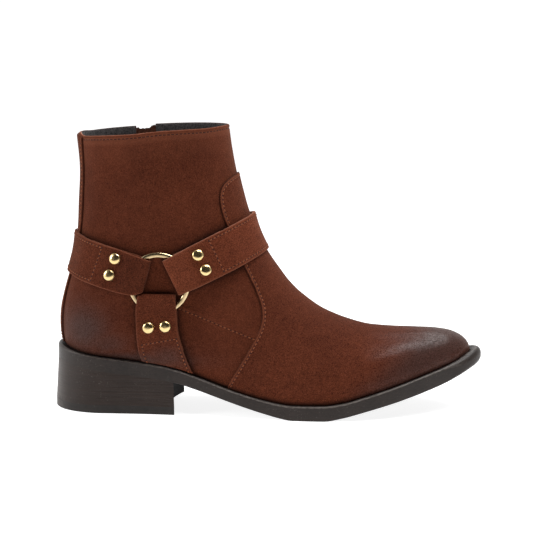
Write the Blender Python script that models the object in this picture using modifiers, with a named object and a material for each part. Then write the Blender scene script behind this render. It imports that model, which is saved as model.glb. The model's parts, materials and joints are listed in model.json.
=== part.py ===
"""Harness ankle boot, right foot, standing empty on its heel and forefoot.

Frame: metres, +X from heel to toe, -Y the lateral side, +Z up, floor at z = 0. Tables are in millimetres.
"""

from math import radians

import bmesh
import bpy
import numpy as np
from mathutils import Matrix, Vector

MM = 0.001
GAP = 0.3
SHARP_DEGREES = 40.0
# The tables' own zero lies this far from the middle of the finished boot.
ORIGIN = (0.53, 0.17, 0.0)

# Front profile of the upper from the toe's feather edge up to the collar.
# round is the depth below the profile at which the full width is met.
FRONT = (  # x, z, round
    (131.8, 37.4, 13.0),
    (130.6, 41.0, 13.0),
    (127.2, 44.8, 14.0),
    (121.0, 48.0, 16.0),
    (112.0, 49.7, 19.0),
    (98.0, 50.4, 24.0),
    (80.0, 51.0, 31.0),
    (66.0, 52.4, 36.0),
    (54.0, 55.4, 40.0),
    (42.0, 60.2, 44.0),
    (30.0, 66.9, 46.0),
    (20.0, 74.6, 46.0),
    (10.0, 86.4, 46.0),
    (0.5, 99.6, 46.0),
    (-7.4, 114.0, 45.0),
    (-12.7, 128.0, 46.0),
    (-16.6, 142.0, 48.0),
    (-19.8, 155.5, 50.0),
    (-22.3, 169.0, 50.0),
    (-24.4, 184.4, 50.0),
)
# Back profile of the upper from the heel's feather edge up to the collar.
BACK = (  # x, z, round
    (-133.4, 43.0, 29.0),
    (-134.3, 49.0, 29.0),
    (-134.6, 56.0, 30.0),
    (-133.9, 65.0, 32.0),
    (-131.4, 76.0, 36.0),
    (-127.6, 89.0, 40.0),
    (-124.2, 101.0, 44.0),
    (-122.2, 115.0, 47.0),
    (-121.0, 134.0, 49.0),
    (-119.8, 157.0, 49.0),
    (-120.8, 178.0, 49.0),
)
COLLAR_SAG = 0.6

# Height of the sole along the boot: tread is the outsole's under face, feather the welt's top.
SOLE_LINE = (  # x, tread, feather
    (-142.0, 34.2, 43.4),
    (-130.0, 31.4, 40.6),
    (-117.0, 28.8, 38.0),
    (-105.0, 27.1, 36.3),
    (-93.0, 25.8, 35.0),
    (-81.0, 24.5, 33.6),
    (-68.0, 22.8, 31.7),
    (-56.0, 20.6, 29.1),
    (-47.0, 18.1, 26.4),
    (-38.0, 15.3, 23.4),
    (-25.0, 11.1, 19.0),
    (-12.0, 7.0, 15.0),
    (0.0, 3.6, 12.0),
    (10.0, 1.2, 10.2),
    (18.0, 0.0, 9.4),
    (38.0, 0.0, 9.6),
    (50.0, 2.0, 11.2),
    (60.0, 4.5, 13.8),
    (72.0, 7.6, 17.2),
    (87.0, 11.5, 21.6),
    (101.0, 15.3, 25.8),
    (116.0, 20.0, 30.4),
    (126.0, 23.9, 33.9),
    (134.0, 27.5, 36.8),
    (144.0, 32.0, 40.6),
)
PARTING_SHARE = 0.56

# Half widths of the last's body in plan.
PLAN = (  # x, lateral, medial
    (-140.0, 27.0, 26.8),
    (-105.0, 27.6, 27.0),
    (-80.0, 28.4, 27.0),
    (-60.0, 30.0, 26.8),
    (-40.0, 32.8, 26.8),
    (-20.0, 36.4, 29.4),
    (0.0, 39.2, 33.8),
    (20.0, 42.0, 38.6),
    (36.0, 43.0, 41.4),
    (50.0, 42.6, 42.4),
    (65.0, 40.4, 40.8),
    (80.0, 36.8, 36.0),
    (95.0, 30.4, 30.0),
    (110.0, 22.8, 22.6),
    (122.0, 15.8, 15.6),
    (136.0, 9.0, 9.0),
)
SHAFT = (  # z, half
    (40.0, 38.0),
    (70.0, 36.0),
    (95.0, 34.4),
    (125.0, 33.0),
    (185.0, 33.4),
)
SHAFT_BLEND = (34.0, 108.0)
TOE_SWING = 5.0
SWING_FROM = 5.0
TUCK_SHARE = 0.05
TUCK_DEPTH = 5.0
WALL = 2.2

# Reach of the welt beyond the upper.
REACH = (  # x, reach, flare of the heel's foot, bevel of the welt's top edge
    (-136.0, 4.3, 2.0, 0.8),
    (-110.0, 3.2, 0.7, 0.8),
    (-50.0, 3.4, 0.5, 0.8),
    (0.0, 4.0, 0.5, 0.8),
    (40.0, 4.4, 0.5, 0.8),
    (90.0, 4.4, 0.5, 0.8),
    (118.0, 4.8, 0.5, 1.0),
    (134.0, 9.4, 0.5, 3.2),
)

AROUND = 48
ROWS = 18
ROW_POWER = 1.15
ACROSS = 4

# Overlays: the vamp's rear edge from the welt to the top of its shin tab, and the backstay's front edge.
VAMP_EDGE = (  # x, z
    (-26.0, 14.0),
    (-22.4, 22.1),
    (-17.5, 30.6),
    (-11.6, 40.7),
    (-6.4, 50.0),
    (-3.6, 55.5),
    (-1.9, 62.0),
    (-2.1, 69.3),
    (-5.8, 79.6),
    (-13.6, 95.3),
    (-20.5, 110.0),
    (-25.2, 122.7),
    (-27.3, 128.5),
    (-28.9, 135.2),
    (-29.3, 140.5),
    (-28.3, 145.4),
    (-25.4, 149.2),
    (-21.0, 152.2),
    (-16.0, 154.0),
    (-8.0, 155.0),
)
BACKSTAY_EDGE = (  # x, z
    (-132.4, 36.0),
    (-132.2, 59.3),
    (-130.4, 73.2),
    (-126.6, 87.4),
    (-121.5, 104.0),
    (-118.2, 122.7),
    (-116.6, 145.0),
    (-116.2, 190.0),
)
OVERLAY = (0.35, 1.5)

# Harness. Edges are measured across each strap from a line through the ring's centre, low side first.
RING = {"x": -66.5, "z": 86.6, "outer": 20.0, "wide": 3.5, "thick": 2.6, "lift": 2.9, "segments": 36}
# angle: rise of the strap; inner: its inner face off the upper; end_x: its end on the medial side.
STRAPS = {  # edges: distance from the ring, low edge, high edge
    "strap_back": {
        "angle": 165.5,
        "inner": 1.95,
        "edges": ((8.6, -12.6, 8.2), (15.0, -13.4, 11.8), (24.0, -13.9, 12.6), (46.0, -14.0, 13.0)),
        "switch": 46.0,
        "end_x": -81.5,
        "turn": -1,
        "stand": 0.0,
    },
    "strap_front": {
        "angle": 25.0,
        "inner": 1.95,
        "edges": ((8.6, -12.2, 11.8), (15.0, -12.4, 12.4), (24.0, -12.7, 12.7), (46.0, -13.0, 13.2)),
        "switch": 44.0,
        "end_x": -61.5,
        "turn": 1,
        "stand": 1.6,
    },
    "strap_side": {
        "angle": 270.0,
        "inner": 0.6,
        "edges": ((7.6, -13.3, 10.4), (17.0, -14.8, 11.0), (29.0, -15.2, 11.5), (36.0, -14.2, 13.2),
                  (44.5, -13.2, 15.8), (51.0, -10.6, 18.0), (55.0, -8.6, 20.4)),
        "switch": None,
    },
}
STRAP_LAYER = 1.35
STRAP_ROWS = 16
STRAP_COLUMNS = 4
SETTLE = (19.5, 28.0)
FOLD_ROUND = 2.6
LAYER_END = (49.0, 51.5)
POCKET = {"start": 1.5, "end": 20.9, "half": 24.0, "room": 0.35}

RIVETS = {  # name: strap, x, z
    "rivet_back_upper": ("strap_back", -92.8, 101.6),
    "rivet_back_lower": ("strap_back", -96.7, 91.2),
    "rivet_front_upper": ("strap_front", -42.3, 104.2),
    "rivet_front_lower": ("strap_front", -37.3, 94.8),
    "rivet_side_rear": ("strap_side", -73.3, 58.2),
    "rivet_side_fore": ("strap_side", -62.5, 59.1),
}
RIVET = {"radius": 3.9, "seat": 0.3, "dome": 2.3, "rim": 0.6, "shank": 1.2, "depth": 1.8, "segments": 12}

HEEL = {"breast": -58.5, "hollow": 6.5, "lift": 5.2, "rows": 9, "columns": 6}

# Zip on the medial side: centre line from top to foot.
ZIP_TOP = (-82.0, 178.4)
ZIP_FOOT = (-71.0, 62.0)
ZIP = {"slot": 6.6, "tape": (-1.7, -0.6), "chain": (-0.25, 1.0), "chain_half": 2.4}
ZIP_SIDE = (12.0, 80.0)
SLIDER_AT = 0.075
SLIDER = {"long": 9.0, "wide": 7.6, "thick": 1.8, "lug": 1.2, "pin": 0.7, "pin_height": 5.25}
PULL = {"long": 24.0, "wide": 4.8, "thick": 1.3, "eye": 1.0, "ring": 1.8}

COLOURS = {  # material: base colour, metallic, roughness
    "suede": ((0.125, 0.032, 0.015), 0.0, 0.95),
    "sole_leather": ((0.012, 0.008, 0.007), 0.0, 0.4),
    "rubber": ((0.008, 0.007, 0.007), 0.0, 0.6),
    "insole_leather": ((0.02, 0.018, 0.018), 0.0, 0.8),
    "brass": ((0.72, 0.47, 0.17), 1.0, 0.22),
    "tape": ((0.06, 0.02, 0.011), 0.0, 0.9),
}


def table(rows, at):
    """Columns of a table as smooth functions of its first column."""
    rows = np.array(rows, float)
    x, y = rows[:, 0], rows[:, 1:]
    step = np.diff(x)
    rise = np.diff(y, axis=0) / step[:, None]
    slope = np.zeros_like(y)
    slope[0], slope[-1] = rise[0], rise[-1]
    same = rise[:-1] * rise[1:] > 0
    weight = 3 * (step[1:] + step[:-1])[:, None]
    first = (2 * step[1:] + step[:-1])[:, None]
    second = (step[1:] + 2 * step[:-1])[:, None]
    safe_a = np.where(same, rise[:-1], 1.0)
    safe_b = np.where(same, rise[1:], 1.0)
    slope[1:-1] = np.where(same, weight / (first / safe_a + second / safe_b), 0.0)
    at = np.clip(np.asarray(at, float), x[0], x[-1])
    i = np.clip(np.searchsorted(x, at, side="right") - 1, 0, len(step) - 1)
    h = step[i]
    t = ((at - x[i]) / h)[..., None]
    h = h[..., None]
    value = (
        (1 + 2 * t) * (1 - t) ** 2 * y[i]
        + t * (1 - t) ** 2 * h * slope[i]
        + t * t * (3 - 2 * t) * y[i + 1]
        + t * t * (t - 1) * h * slope[i + 1]
    )
    return np.moveaxis(value, -1, 0)


def spline(points, count):
    """A smooth curve through points, sampled evenly along its length."""
    points = np.array(points, float)
    chord = np.linalg.norm(np.diff(points[:, :2], axis=0), axis=1)
    at = np.concatenate([[0.0], np.cumsum(chord)])
    slope = np.gradient(points, at, axis=0)
    fine = np.linspace(0, at[-1], 4 * count)
    i = np.clip(np.searchsorted(at, fine, side="right") - 1, 0, len(chord) - 1)
    h = chord[i][:, None]
    t = ((fine - at[i]) / chord[i])[:, None]
    curve = (
        (1 + 2 * t) * (1 - t) ** 2 * points[i]
        + t * (1 - t) ** 2 * h * slope[i]
        + t * t * (3 - 2 * t) * points[i + 1]
        + t * t * (t - 1) * h * slope[i + 1]
    )
    run = np.concatenate([[0.0], np.cumsum(np.linalg.norm(np.diff(curve[:, :2], axis=0), axis=1))])
    even = np.linspace(0, run[-1], count)
    return np.stack([np.interp(even, run, column) for column in curve.T], axis=1)


def smooth(low, high, at):
    t = np.clip((np.asarray(at, float) - low) / (high - low), 0, 1)
    return t * t * (3 - 2 * t)


FRONT_CURVE = spline(FRONT, 2400)
BACK_CURVE = spline(BACK, 1600)


def tread(x):
    return table(SOLE_LINE, x)[0]


def feather(x):
    return table(SOLE_LINE, x)[1]


def parting(x):
    low, high = table(SOLE_LINE, x)
    return low + (high - low) * PARTING_SHARE


def swing(x):
    """Sideways shift of the last's centre line: the toe leans to the medial side."""
    t = np.clip((np.asarray(x, float) - SWING_FROM) / (132.0 - SWING_FROM), 0, 1.1)
    return TOE_SWING * t * t


def rounding(curve, x, z):
    """How far the width has grown at a depth below a profile, from 0 on it to 1 at its round depth."""
    flat = np.stack([np.ravel(x), np.ravel(z)], axis=1)
    share = np.empty(len(flat))
    for start in range(0, len(flat), 2000):
        part = flat[start : start + 2000]
        apart = ((part[:, None, :] - curve[None, :, :2]) ** 2).sum(axis=2)
        near = apart.argmin(axis=1)
        depth = np.sqrt(apart[np.arange(len(part)), near])
        t = np.clip(depth / curve[near, 2], 0, 1)
        share[start : start + 2000] = np.sqrt(t * (2 - t))
    return share.reshape(np.shape(x))


def half_widths(x, z):
    lateral, medial = table(PLAN, x)
    body = table(SHAFT, z)[0]
    up = smooth(*SHAFT_BLEND, z)
    round_off = rounding(FRONT_CURVE, x, z) * rounding(BACK_CURVE, x, z)
    tuck = 1 - TUCK_SHARE * np.exp(-np.maximum(z - feather(x), 0) / TUCK_DEPTH)
    return [(side + (body - side) * up) * round_off * tuck for side in (lateral, medial)]


def along(curve, v):
    place = np.clip(v, 0, 1) * (len(curve) - 1)
    return [np.interp(place, np.arange(len(curve)), curve[:, k]) for k in (0, 1)]


def side_view(share, v):
    """x and z at a share of the way from back profile to front profile and v from feather to collar."""
    back, front = along(BACK_CURVE, v), along(FRONT_CURVE, v)
    heel, toe = BACK_CURVE[0, :2], FRONT_CURVE[0, :2]
    rear, fore = BACK_CURVE[-1, :2], FRONT_CURVE[-1, :2]
    low_x = heel[0] + (toe[0] - heel[0]) * share
    ends = np.array([heel[0], toe[0]])
    lift = np.interp(share, [0, 1], np.array([heel[1], toe[1]]) - feather(ends))
    low = [low_x, feather(low_x) + lift]
    bow = COLLAR_SAG * 4 * share * (1 - share)
    high = [rear[0] + (fore[0] - rear[0]) * share, rear[1] + (fore[1] - rear[1]) * share + bow]
    out = []
    for k in (0, 1):
        foot = (1 - share) * heel[k] + share * toe[k]
        top = (1 - share) * rear[k] + share * fore[k]
        up_way = (1 - v) * low[k] + v * high[k]
        over_way = (1 - share) * back[k] + share * front[k]
        out.append(up_way + over_way - (1 - v) * foot - v * top)
    return out


def skin(u, v):
    """Outer face of the upper. u runs from the back over the lateral side to the front, then the medial."""
    u, v = np.broadcast_arrays(np.asarray(u, float), np.asarray(v, float))
    x, z = side_view((1 - np.cos(u)) / 2, v)
    lateral, medial = half_widths(x, z)
    y = swing(x) + np.where(np.sin(u) >= 0, -lateral, medial)
    return np.stack([x, y, z], axis=-1)


def normal(u, v, step=0.012):
    u, v = np.broadcast_arrays(np.asarray(u, float), np.asarray(v, float))
    round_way = skin(u + step, v) - skin(u - step, v)
    up_way = skin(u, np.minimum(v + step, 1)) - skin(u, np.maximum(v - step, 0))
    out = np.cross(round_way, up_way)
    return out / np.linalg.norm(out, axis=-1, keepdims=True)


def locate(x, z, rounds=14):
    """The share and v whose side view is this x and z."""
    share = np.clip((x - BACK_CURVE[0, 0]) / (FRONT_CURVE[0, 0] - BACK_CURVE[0, 0]), 0.05, 0.95) + 0 * z
    v = np.clip((z - 30) / 150, 0.05, 0.95) + 0 * x
    for _ in range(rounds):
        here = np.stack(side_view(share, v))
        ds = (np.stack(side_view(share + 1e-4, v)) - here) / 1e-4
        dv = (np.stack(side_view(share, v + 1e-4)) - here) / 1e-4
        miss = np.stack([x, z]) - here
        det = ds[0] * dv[1] - ds[1] * dv[0]
        share = np.clip(share + (miss[0] * dv[1] - miss[1] * dv[0]) / det, 0.002, 0.998)
        v = np.clip(v + (ds[0] * miss[1] - ds[1] * miss[0]) / det, 0.002, 0.998)
    return share, v


def lateral_uv(x, z):
    share, v = locate(np.asarray(x, float), np.asarray(z, float))
    return np.arccos(1 - 2 * share), v


def material(name):
    made = bpy.data.materials.get(name)
    if made:
        return made
    colour, metallic, rough = COLOURS[name]
    made = bpy.data.materials.new(name)
    made.use_nodes = True
    shader = made.node_tree.nodes["Principled BSDF"]
    shader.inputs["Base Color"].default_value = (*colour, 1.0)
    shader.inputs["Metallic"].default_value = metallic
    shader.inputs["Roughness"].default_value = rough
    made.diffuse_color = (*colour, 1.0)
    return made


def placing(point, first, second, third):
    """The matrix that sets a piece at a point of the tables with these three axes."""
    place = (Vector(point) - Vector(ORIGIN)) * MM
    rows = [[first[k], second[k], third[k], place[k]] for k in range(3)]
    return Matrix([*rows, [0.0, 0.0, 0.0, 1.0]])


def add(name, data, kind, collection, matrix=None):
    """Links a mesh as an object with its material and its place."""
    made = bpy.data.objects.new(name, data)
    collection.objects.link(made)
    if kind:
        data.materials.append(material(kind))
    if matrix is not None:
        made.matrix_world = matrix
    data.shade_smooth()
    data.set_sharp_from_angle(angle=radians(SHARP_DEGREES))
    return made


def add_shape(name, shape, kind, collection, matrix=None):
    data = bpy.data.meshes.new(name)
    shape.to_mesh(data)
    shape.free()
    return add(name, data, kind, collection, matrix)


class Loft:
    """Collects the faces of a lofted body, joins equal corners, and turns into an object."""

    def __init__(self):
        self.points = {}
        self.faces = []

    def corner(self, point):
        key = tuple(np.round(np.asarray(point, float), 4))
        return self.points.setdefault(key, len(self.points))

    def face(self, *corners):
        ids = []
        for point in corners:
            i = self.corner(point)
            if i not in ids:
                ids.append(i)
        if len(ids) > 2:
            self.faces.append(ids)

    def sheet(self, grid, closed=False, flip=False):
        """Quads over a grid of points. closed joins the last column to the first."""
        rows, columns = grid.shape[:2]
        for r in range(rows - 1):
            for c in range(columns if closed else columns - 1):
                d = (c + 1) % columns
                quad = [grid[r, c], grid[r, d], grid[r + 1, d], grid[r + 1, c]]
                self.face(*(quad[::-1] if flip else quad))

    def object(self, name, kind, collection):
        shape = bmesh.new()
        places = [shape.verts.new([(k - o) * MM for k, o in zip(point, ORIGIN)]) for point in self.points]
        for ids in self.faces:
            shape.faces.new([places[i] for i in ids])
        bmesh.ops.recalc_face_normals(shape, faces=shape.faces[:])
        return add_shape(name, shape, kind, collection)


def cut(target, cutter, operation="DIFFERENCE"):
    step = target.modifiers.new(f"{operation.lower()} {cutter.name}", "BOOLEAN")
    step.operation = operation
    step.solver = "EXACT"
    step.object = cutter


def shell(name, kind, collection, inner, outer):
    """A closed wall round the whole last between two heights off the upper's outer face."""
    u = np.arange(AROUND) * 2 * np.pi / AROUND
    v = np.linspace(0, 1, ROWS + 1) ** ROW_POWER
    u, v = np.meshgrid(u, v)
    base = skin(u, v)
    faces = []
    for height in (inner, outer):
        grid = base + normal(u, v) * height
        grid[0, :, 2], grid[-1, :, 2] = base[0, :, 2], base[-1, :, 2]
        faces.append(grid)
    made = Loft()
    made.sheet(faces[1], closed=True)
    made.sheet(faces[0], closed=True, flip=True)
    for row, flip in ((0, True), (-1, False)):
        made.sheet(np.stack([faces[1][row], faces[0][row]]), closed=True, flip=flip)
    return made.object(name, kind, collection)


def prism(name, outline, low, high, collection):
    """A side-view outline run through in Y."""
    shape = bmesh.new()
    corners = [shape.verts.new((Vector((x, low, z)) - Vector(ORIGIN)) * MM) for x, z in outline]
    shape.faces.new(corners)
    run = bmesh.ops.extrude_face_region(shape, geom=shape.faces[:])
    moved = [item for item in run["geom"] if isinstance(item, bmesh.types.BMVert)]
    bmesh.ops.translate(shape, verts=moved, vec=(0.0, (high - low) * MM, 0.0))
    bmesh.ops.recalc_face_normals(shape, faces=shape.faces[:])
    return add_shape(name, shape, None, collection)


def box(name, kind, collection, low, high, matrix):
    """A box between two corners in the frame of matrix."""
    size = (Vector(high) - Vector(low)) * MM
    middle = (Vector(high) + Vector(low)) * MM / 2
    shape = bmesh.new()
    bmesh.ops.create_cube(shape, size=1.0, matrix=Matrix.Translation(middle) @ Matrix.Diagonal((*size, 1.0)))
    return add_shape(name, shape, kind, collection, matrix)


def cylinder(name, kind, collection, radius, low, high, segments, matrix):
    """A cylinder along the third axis of matrix."""
    shape = bmesh.new()
    bmesh.ops.create_cone(
        shape, cap_ends=True, segments=segments, radius1=radius * MM, radius2=radius * MM,
        depth=(high - low) * MM, matrix=Matrix.Translation((0.0, 0.0, (low + high) * MM / 2)),
    )
    return add_shape(name, shape, kind, collection, matrix)


def turned(name, kind, collection, profile, segments, matrix):
    """A profile of (radius, height), from its top down, turned round the third axis of matrix."""
    data = bpy.data.meshes.new(name)
    points = [(radius * MM, 0.0, height * MM) for radius, height in profile]
    data.from_pydata(points, [(k, k + 1) for k in range(len(points) - 1)], [])
    made = add(name, data, kind, collection, matrix)
    turn = made.modifiers.new("turn", "SCREW")
    turn.steps = turn.render_steps = segments
    turn.use_merge_vertices = True
    turn.merge_threshold = 1e-5
    return made


def feather_loop():
    u = np.arange(AROUND) * 2 * np.pi / AROUND
    return skin(u, np.zeros(AROUND))[:, :2]


def offset_loop(loop, reach):
    """The loop moved out in plan by reach, which may differ from point to point."""
    way = np.roll(loop, -1, axis=0) - np.roll(loop, 1, axis=0)
    way /= np.linalg.norm(way, axis=1, keepdims=True)
    out = np.stack([way[:, 1], -way[:, 0]], axis=1)
    if (out[0] * loop[0]).sum() < 0:
        out = -out
    return loop + out * np.asarray(reach)[..., None]


def sole_loop(inset=0.0, flare=0.0, bevel=0.0):
    """The sole's outline, taken in by inset and by shares of the table's flare and bevel."""
    loop = feather_loop()
    reach, out, back = table(REACH, loop[:, 0])
    return offset_loop(loop, reach - inset + out * flare - back * bevel)


def at_height(loop, height):
    return np.concatenate([loop, height(loop[:, 0])[:, None]], axis=1)


def cap_rows(loop, height):
    """Rows across a loop, from lateral to medial, each point at the height of its x."""
    half = len(loop) // 2
    share = np.linspace(0, 1, ACROSS + 1)[:, None]
    grid = []
    for k in range(half + 1):
        a, b = loop[k], loop[-k % len(loop)]
        grid.append(a + (b - a) * share)
    grid = np.array(grid)
    return np.concatenate([grid, height(grid[..., 0])[..., None]], axis=2)


def plate(name, kind, collection, layers):
    """A plate stacked from (loop, height) layers, the first its under face and the last its top."""
    made = Loft()
    rings = np.array([at_height(loop, height) for loop, height in layers])
    made.sheet(rings, closed=True)
    made.sheet(cap_rows(*layers[0]))
    made.sheet(cap_rows(*layers[-1]))
    return made.object(name, kind, collection)


def heel_grid(loop, breast, hollow):
    """Rows across the heel from its back to the hollowed breast."""
    half = len(loop) // 2
    near, far = loop[: half + 1], np.concatenate([loop[:1], loop[: half - 1 : -1]])
    share = np.linspace(0, 1, HEEL["columns"] + 1)
    grid = []
    for run in 1 - np.cos(np.linspace(0, np.pi / 2, HEEL["rows"] + 1)):
        x = loop[0, 0] + (breast - loop[0, 0]) * run
        a = np.interp(x, near[:, 0], near[:, 1])
        b = np.interp(x, far[:, 0], far[:, 1])
        back = hollow * smooth(0.7, 1.0, run) * (1 - (2 * share - 1) ** 2)
        grid.append(np.stack([x - back, a + (b - a) * share], axis=1))
    return np.array(grid)


def heel_block(name, kind, collection, low, high):
    """A block between two heel grids, each with its own height function."""
    faces = []
    for grid, height in (low, high):
        faces.append(np.concatenate([grid, height(grid[..., 0])[..., None]], axis=2))
    made = Loft()
    made.sheet(faces[0], flip=True)
    made.sheet(faces[1])
    for edge in (np.s_[:, 0], np.s_[-1], np.s_[::-1, -1]):
        made.sheet(np.stack([faces[0][edge], faces[1][edge]]))
    return made.object(name, kind, collection)


class RingFrame:
    """The plane of the ring: it lies over the upper at the ring's centre."""

    def __init__(self):
        u, v = lateral_uv(np.array(RING["x"]), np.array(RING["z"]))
        self.out = normal(u, v)
        self.centre = skin(u, v) + self.out * RING["lift"]
        fore = np.cross([0.0, 0.0, 1.0], self.out)
        self.fore = fore / np.linalg.norm(fore)
        self.up = np.cross(self.out, self.fore)

    def matrix(self, way=(1.0, 0.0), across=(0.0, 1.0)):
        """Axes in the ring's plane along way and across, the third axis standing on it."""
        first = self.fore * way[0] + self.up * way[1]
        second = self.fore * across[0] + self.up * across[1]
        return placing(self.centre, first, second, self.out)

    def over(self, x, z, height):
        """The point at height above the ring's plane that has this x and z in side view."""
        n = self.out
        drop = (x - self.centre[0]) * n[0] + (z - self.centre[2]) * n[2] - height
        return np.stack([x, self.centre[1] - drop / n[1], z], axis=-1)


class Strap:
    """A strap folded round the ring at one end and laid on the upper beyond it."""

    def __init__(self, name, ring):
        self.row = STRAPS[name]
        self.ring = ring
        angle = np.radians(self.row["angle"])
        self.way = np.array([np.cos(angle), np.sin(angle)])
        self.across = np.array([-self.way[1], self.way[0]])
        self.fold = self.row["edges"][0][0]

    def side_point(self, s, d):
        x = RING["x"] + s * self.way[0] + d * self.across[0]
        z = RING["z"] + s * self.way[1] + d * self.across[1]
        return x, z

    def top_height(self, s):
        """Height of the strap's outer face off the upper: two layers, then one past the sewn end."""
        layers = 2 - smooth(*LAYER_END, s)
        return self.row["inner"] + STRAP_LAYER * layers

    def faces(self, s, d):
        """Outer and inner point on the lateral side."""
        x, z = self.side_point(s, d)
        u, v = lateral_uv(x, z)
        base, out = skin(u, v), normal(u, v)
        laid = base + out * self.top_height(s)[..., None]
        flat = self.ring.over(x, z, RING["thick"] / 2 + POCKET["room"] + STRAP_LAYER)
        settle = smooth(*SETTLE, s)[..., None]
        outer = flat + (laid - flat) * settle
        inner = base + out * self.row["inner"]
        turn = np.clip((s - self.fold) / FOLD_ROUND, 0, 1)
        rise = np.sqrt(turn * (2 - turn))[..., None]
        outer = inner + (outer - inner) * (0.45 + 0.55 * rise)
        return outer, inner

    def lateral_rows(self, last):
        fold_rows = self.fold + FOLD_ROUND * np.array([0.0, 0.25, 1.0])
        mid = np.linspace(14.0, last, 11)
        s = np.unique(np.concatenate([fold_rows, mid]))
        edges = table(self.row["edges"], s)
        share = np.linspace(0, 1, STRAP_COLUMNS + 1)
        d = edges[0][:, None] + (edges[1] - edges[0])[:, None] * share
        return np.broadcast_to(s[:, None], d.shape), d

    def wrap_rows(self):
        """Rows carried on round the boot to the zip on the medial side."""
        last = self.row["switch"]
        low, high = (edge[-1] for edge in table(self.row["edges"], np.array([last, last])))
        d = np.linspace(low, high, STRAP_COLUMNS + 1)
        start, _ = lateral_uv(*self.side_point(last, d))
        reach = (self.row["end_x"] - RING["x"]) / self.way[0]
        lift = RING["z"] + reach * self.way[1] + d / self.across[1]
        share, _ = locate(np.full(len(d), self.row["end_x"]), lift)
        end = np.arccos(1 - 2 * share)
        end = -end if self.row["turn"] < 0 else 2 * np.pi - end
        t = np.linspace(0, 1, STRAP_ROWS + 1)[1:, None]
        u = start + (end - start) * t
        low_v, high_v = np.zeros(u.shape), np.ones(u.shape)
        for _ in range(40):
            v = (low_v + high_v) / 2
            x, z = side_view((1 - np.cos(u)) / 2, v)
            off = (x - RING["x"]) * self.across[0] + (z - RING["z"]) * self.across[1]
            above = (off > d) == (self.across[1] > 0)
            high_v, low_v = np.where(above, v, high_v), np.where(above, low_v, v)
        base, out = skin(u, v), normal(u, v)
        run = last + np.concatenate([[0], np.cumsum(np.linalg.norm(np.diff(base[:, 2], axis=0), axis=1))])
        stand = self.row["stand"] * (1 - smooth(0.3, 1.1, np.abs(u - np.pi))) * (1 + d / d.max()) / 2
        top = self.top_height(run + 4)[:, None] + stand
        return base + out * top[..., None], base + out * (self.row["inner"] + stand)[..., None]

    def solid(self, name, parts, cutters):
        s, d = self.lateral_rows(self.row["switch"] or self.row["edges"][-1][0])
        outer, inner = self.faces(s, d)
        if self.row["switch"]:
            more_outer, more_inner = self.wrap_rows()
            outer, inner = np.concatenate([outer, more_outer]), np.concatenate([inner, more_inner])
        else:
            for grid in (outer, inner):
                foot = feather(grid[-1, :, 0]) + 2 * GAP
                grid[-1, :, 2] = foot
        made = Loft()
        made.sheet(outer)
        made.sheet(inner, flip=True)
        for edge in (np.s_[:, 0], np.s_[:, -1], np.s_[0], np.s_[-1]):
            made.sheet(np.stack([outer[edge], inner[edge]]))
        strap = made.object(name, "suede", parts)
        room = RING["thick"] / 2 + POCKET["room"]
        low = (self.fold + POCKET["start"], -POCKET["half"], -room)
        high = (POCKET["end"], POCKET["half"], room)
        cut(strap, box(f"{name} pocket", None, cutters, low, high, self.ring.matrix(self.way, self.across)))
        return strap

    def matrix_at(self, x, z, radius):
        """A frame whose third axis stands on the strap's outer face, clear of it over a radius."""
        off = np.array([x - RING["x"], z - RING["z"]])
        angle = np.arange(12) * np.pi / 6
        s = off @ self.way + np.append(radius * np.cos(angle), 0.0)
        d = off @ self.across + np.append(radius * np.sin(angle), 0.0)
        outer, _ = self.faces(s, d)
        e1 = outer[0] - outer[6]
        e1 /= np.linalg.norm(e1)
        n = np.cross(e1, outer[3] - outer[9])
        n /= np.linalg.norm(n)
        if n[1] > 0:
            n = -n
        e2 = np.cross(n, e1)
        seat = outer[-1] + n * ((outer - outer[-1]) @ n).max()
        return placing(seat, e1, e2, n)


def zip_outline(half, top_drop=0.0, over=0.0):
    """Side-view outline of a band along the zip's line."""
    top, foot = np.array(ZIP_TOP), np.array(ZIP_FOOT)
    way = (foot - top) / np.linalg.norm(foot - top)
    side = np.array([-way[1], way[0]])
    start = top + way * top_drop - way * over
    return [start - side * half, start + side * half, foot + side * half, foot - side * half]


def zip_frame(share):
    """A point on the zip's line and its axes: down the zip, across it and out."""
    top, foot = np.array(ZIP_TOP), np.array(ZIP_FOOT)
    at = np.stack([top + (foot - top) * (share + k) for k in (0.0, 0.01)])
    share_u, v = locate(at[:, 0], at[:, 1])
    u = 2 * np.pi - np.arccos(1 - 2 * share_u)
    points, out = skin(u, v), normal(u, v)[0]
    down = points[1] - points[0]
    down -= out * (down @ out)
    down /= np.linalg.norm(down)
    return points[0], down, np.cross(out, down), out


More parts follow.
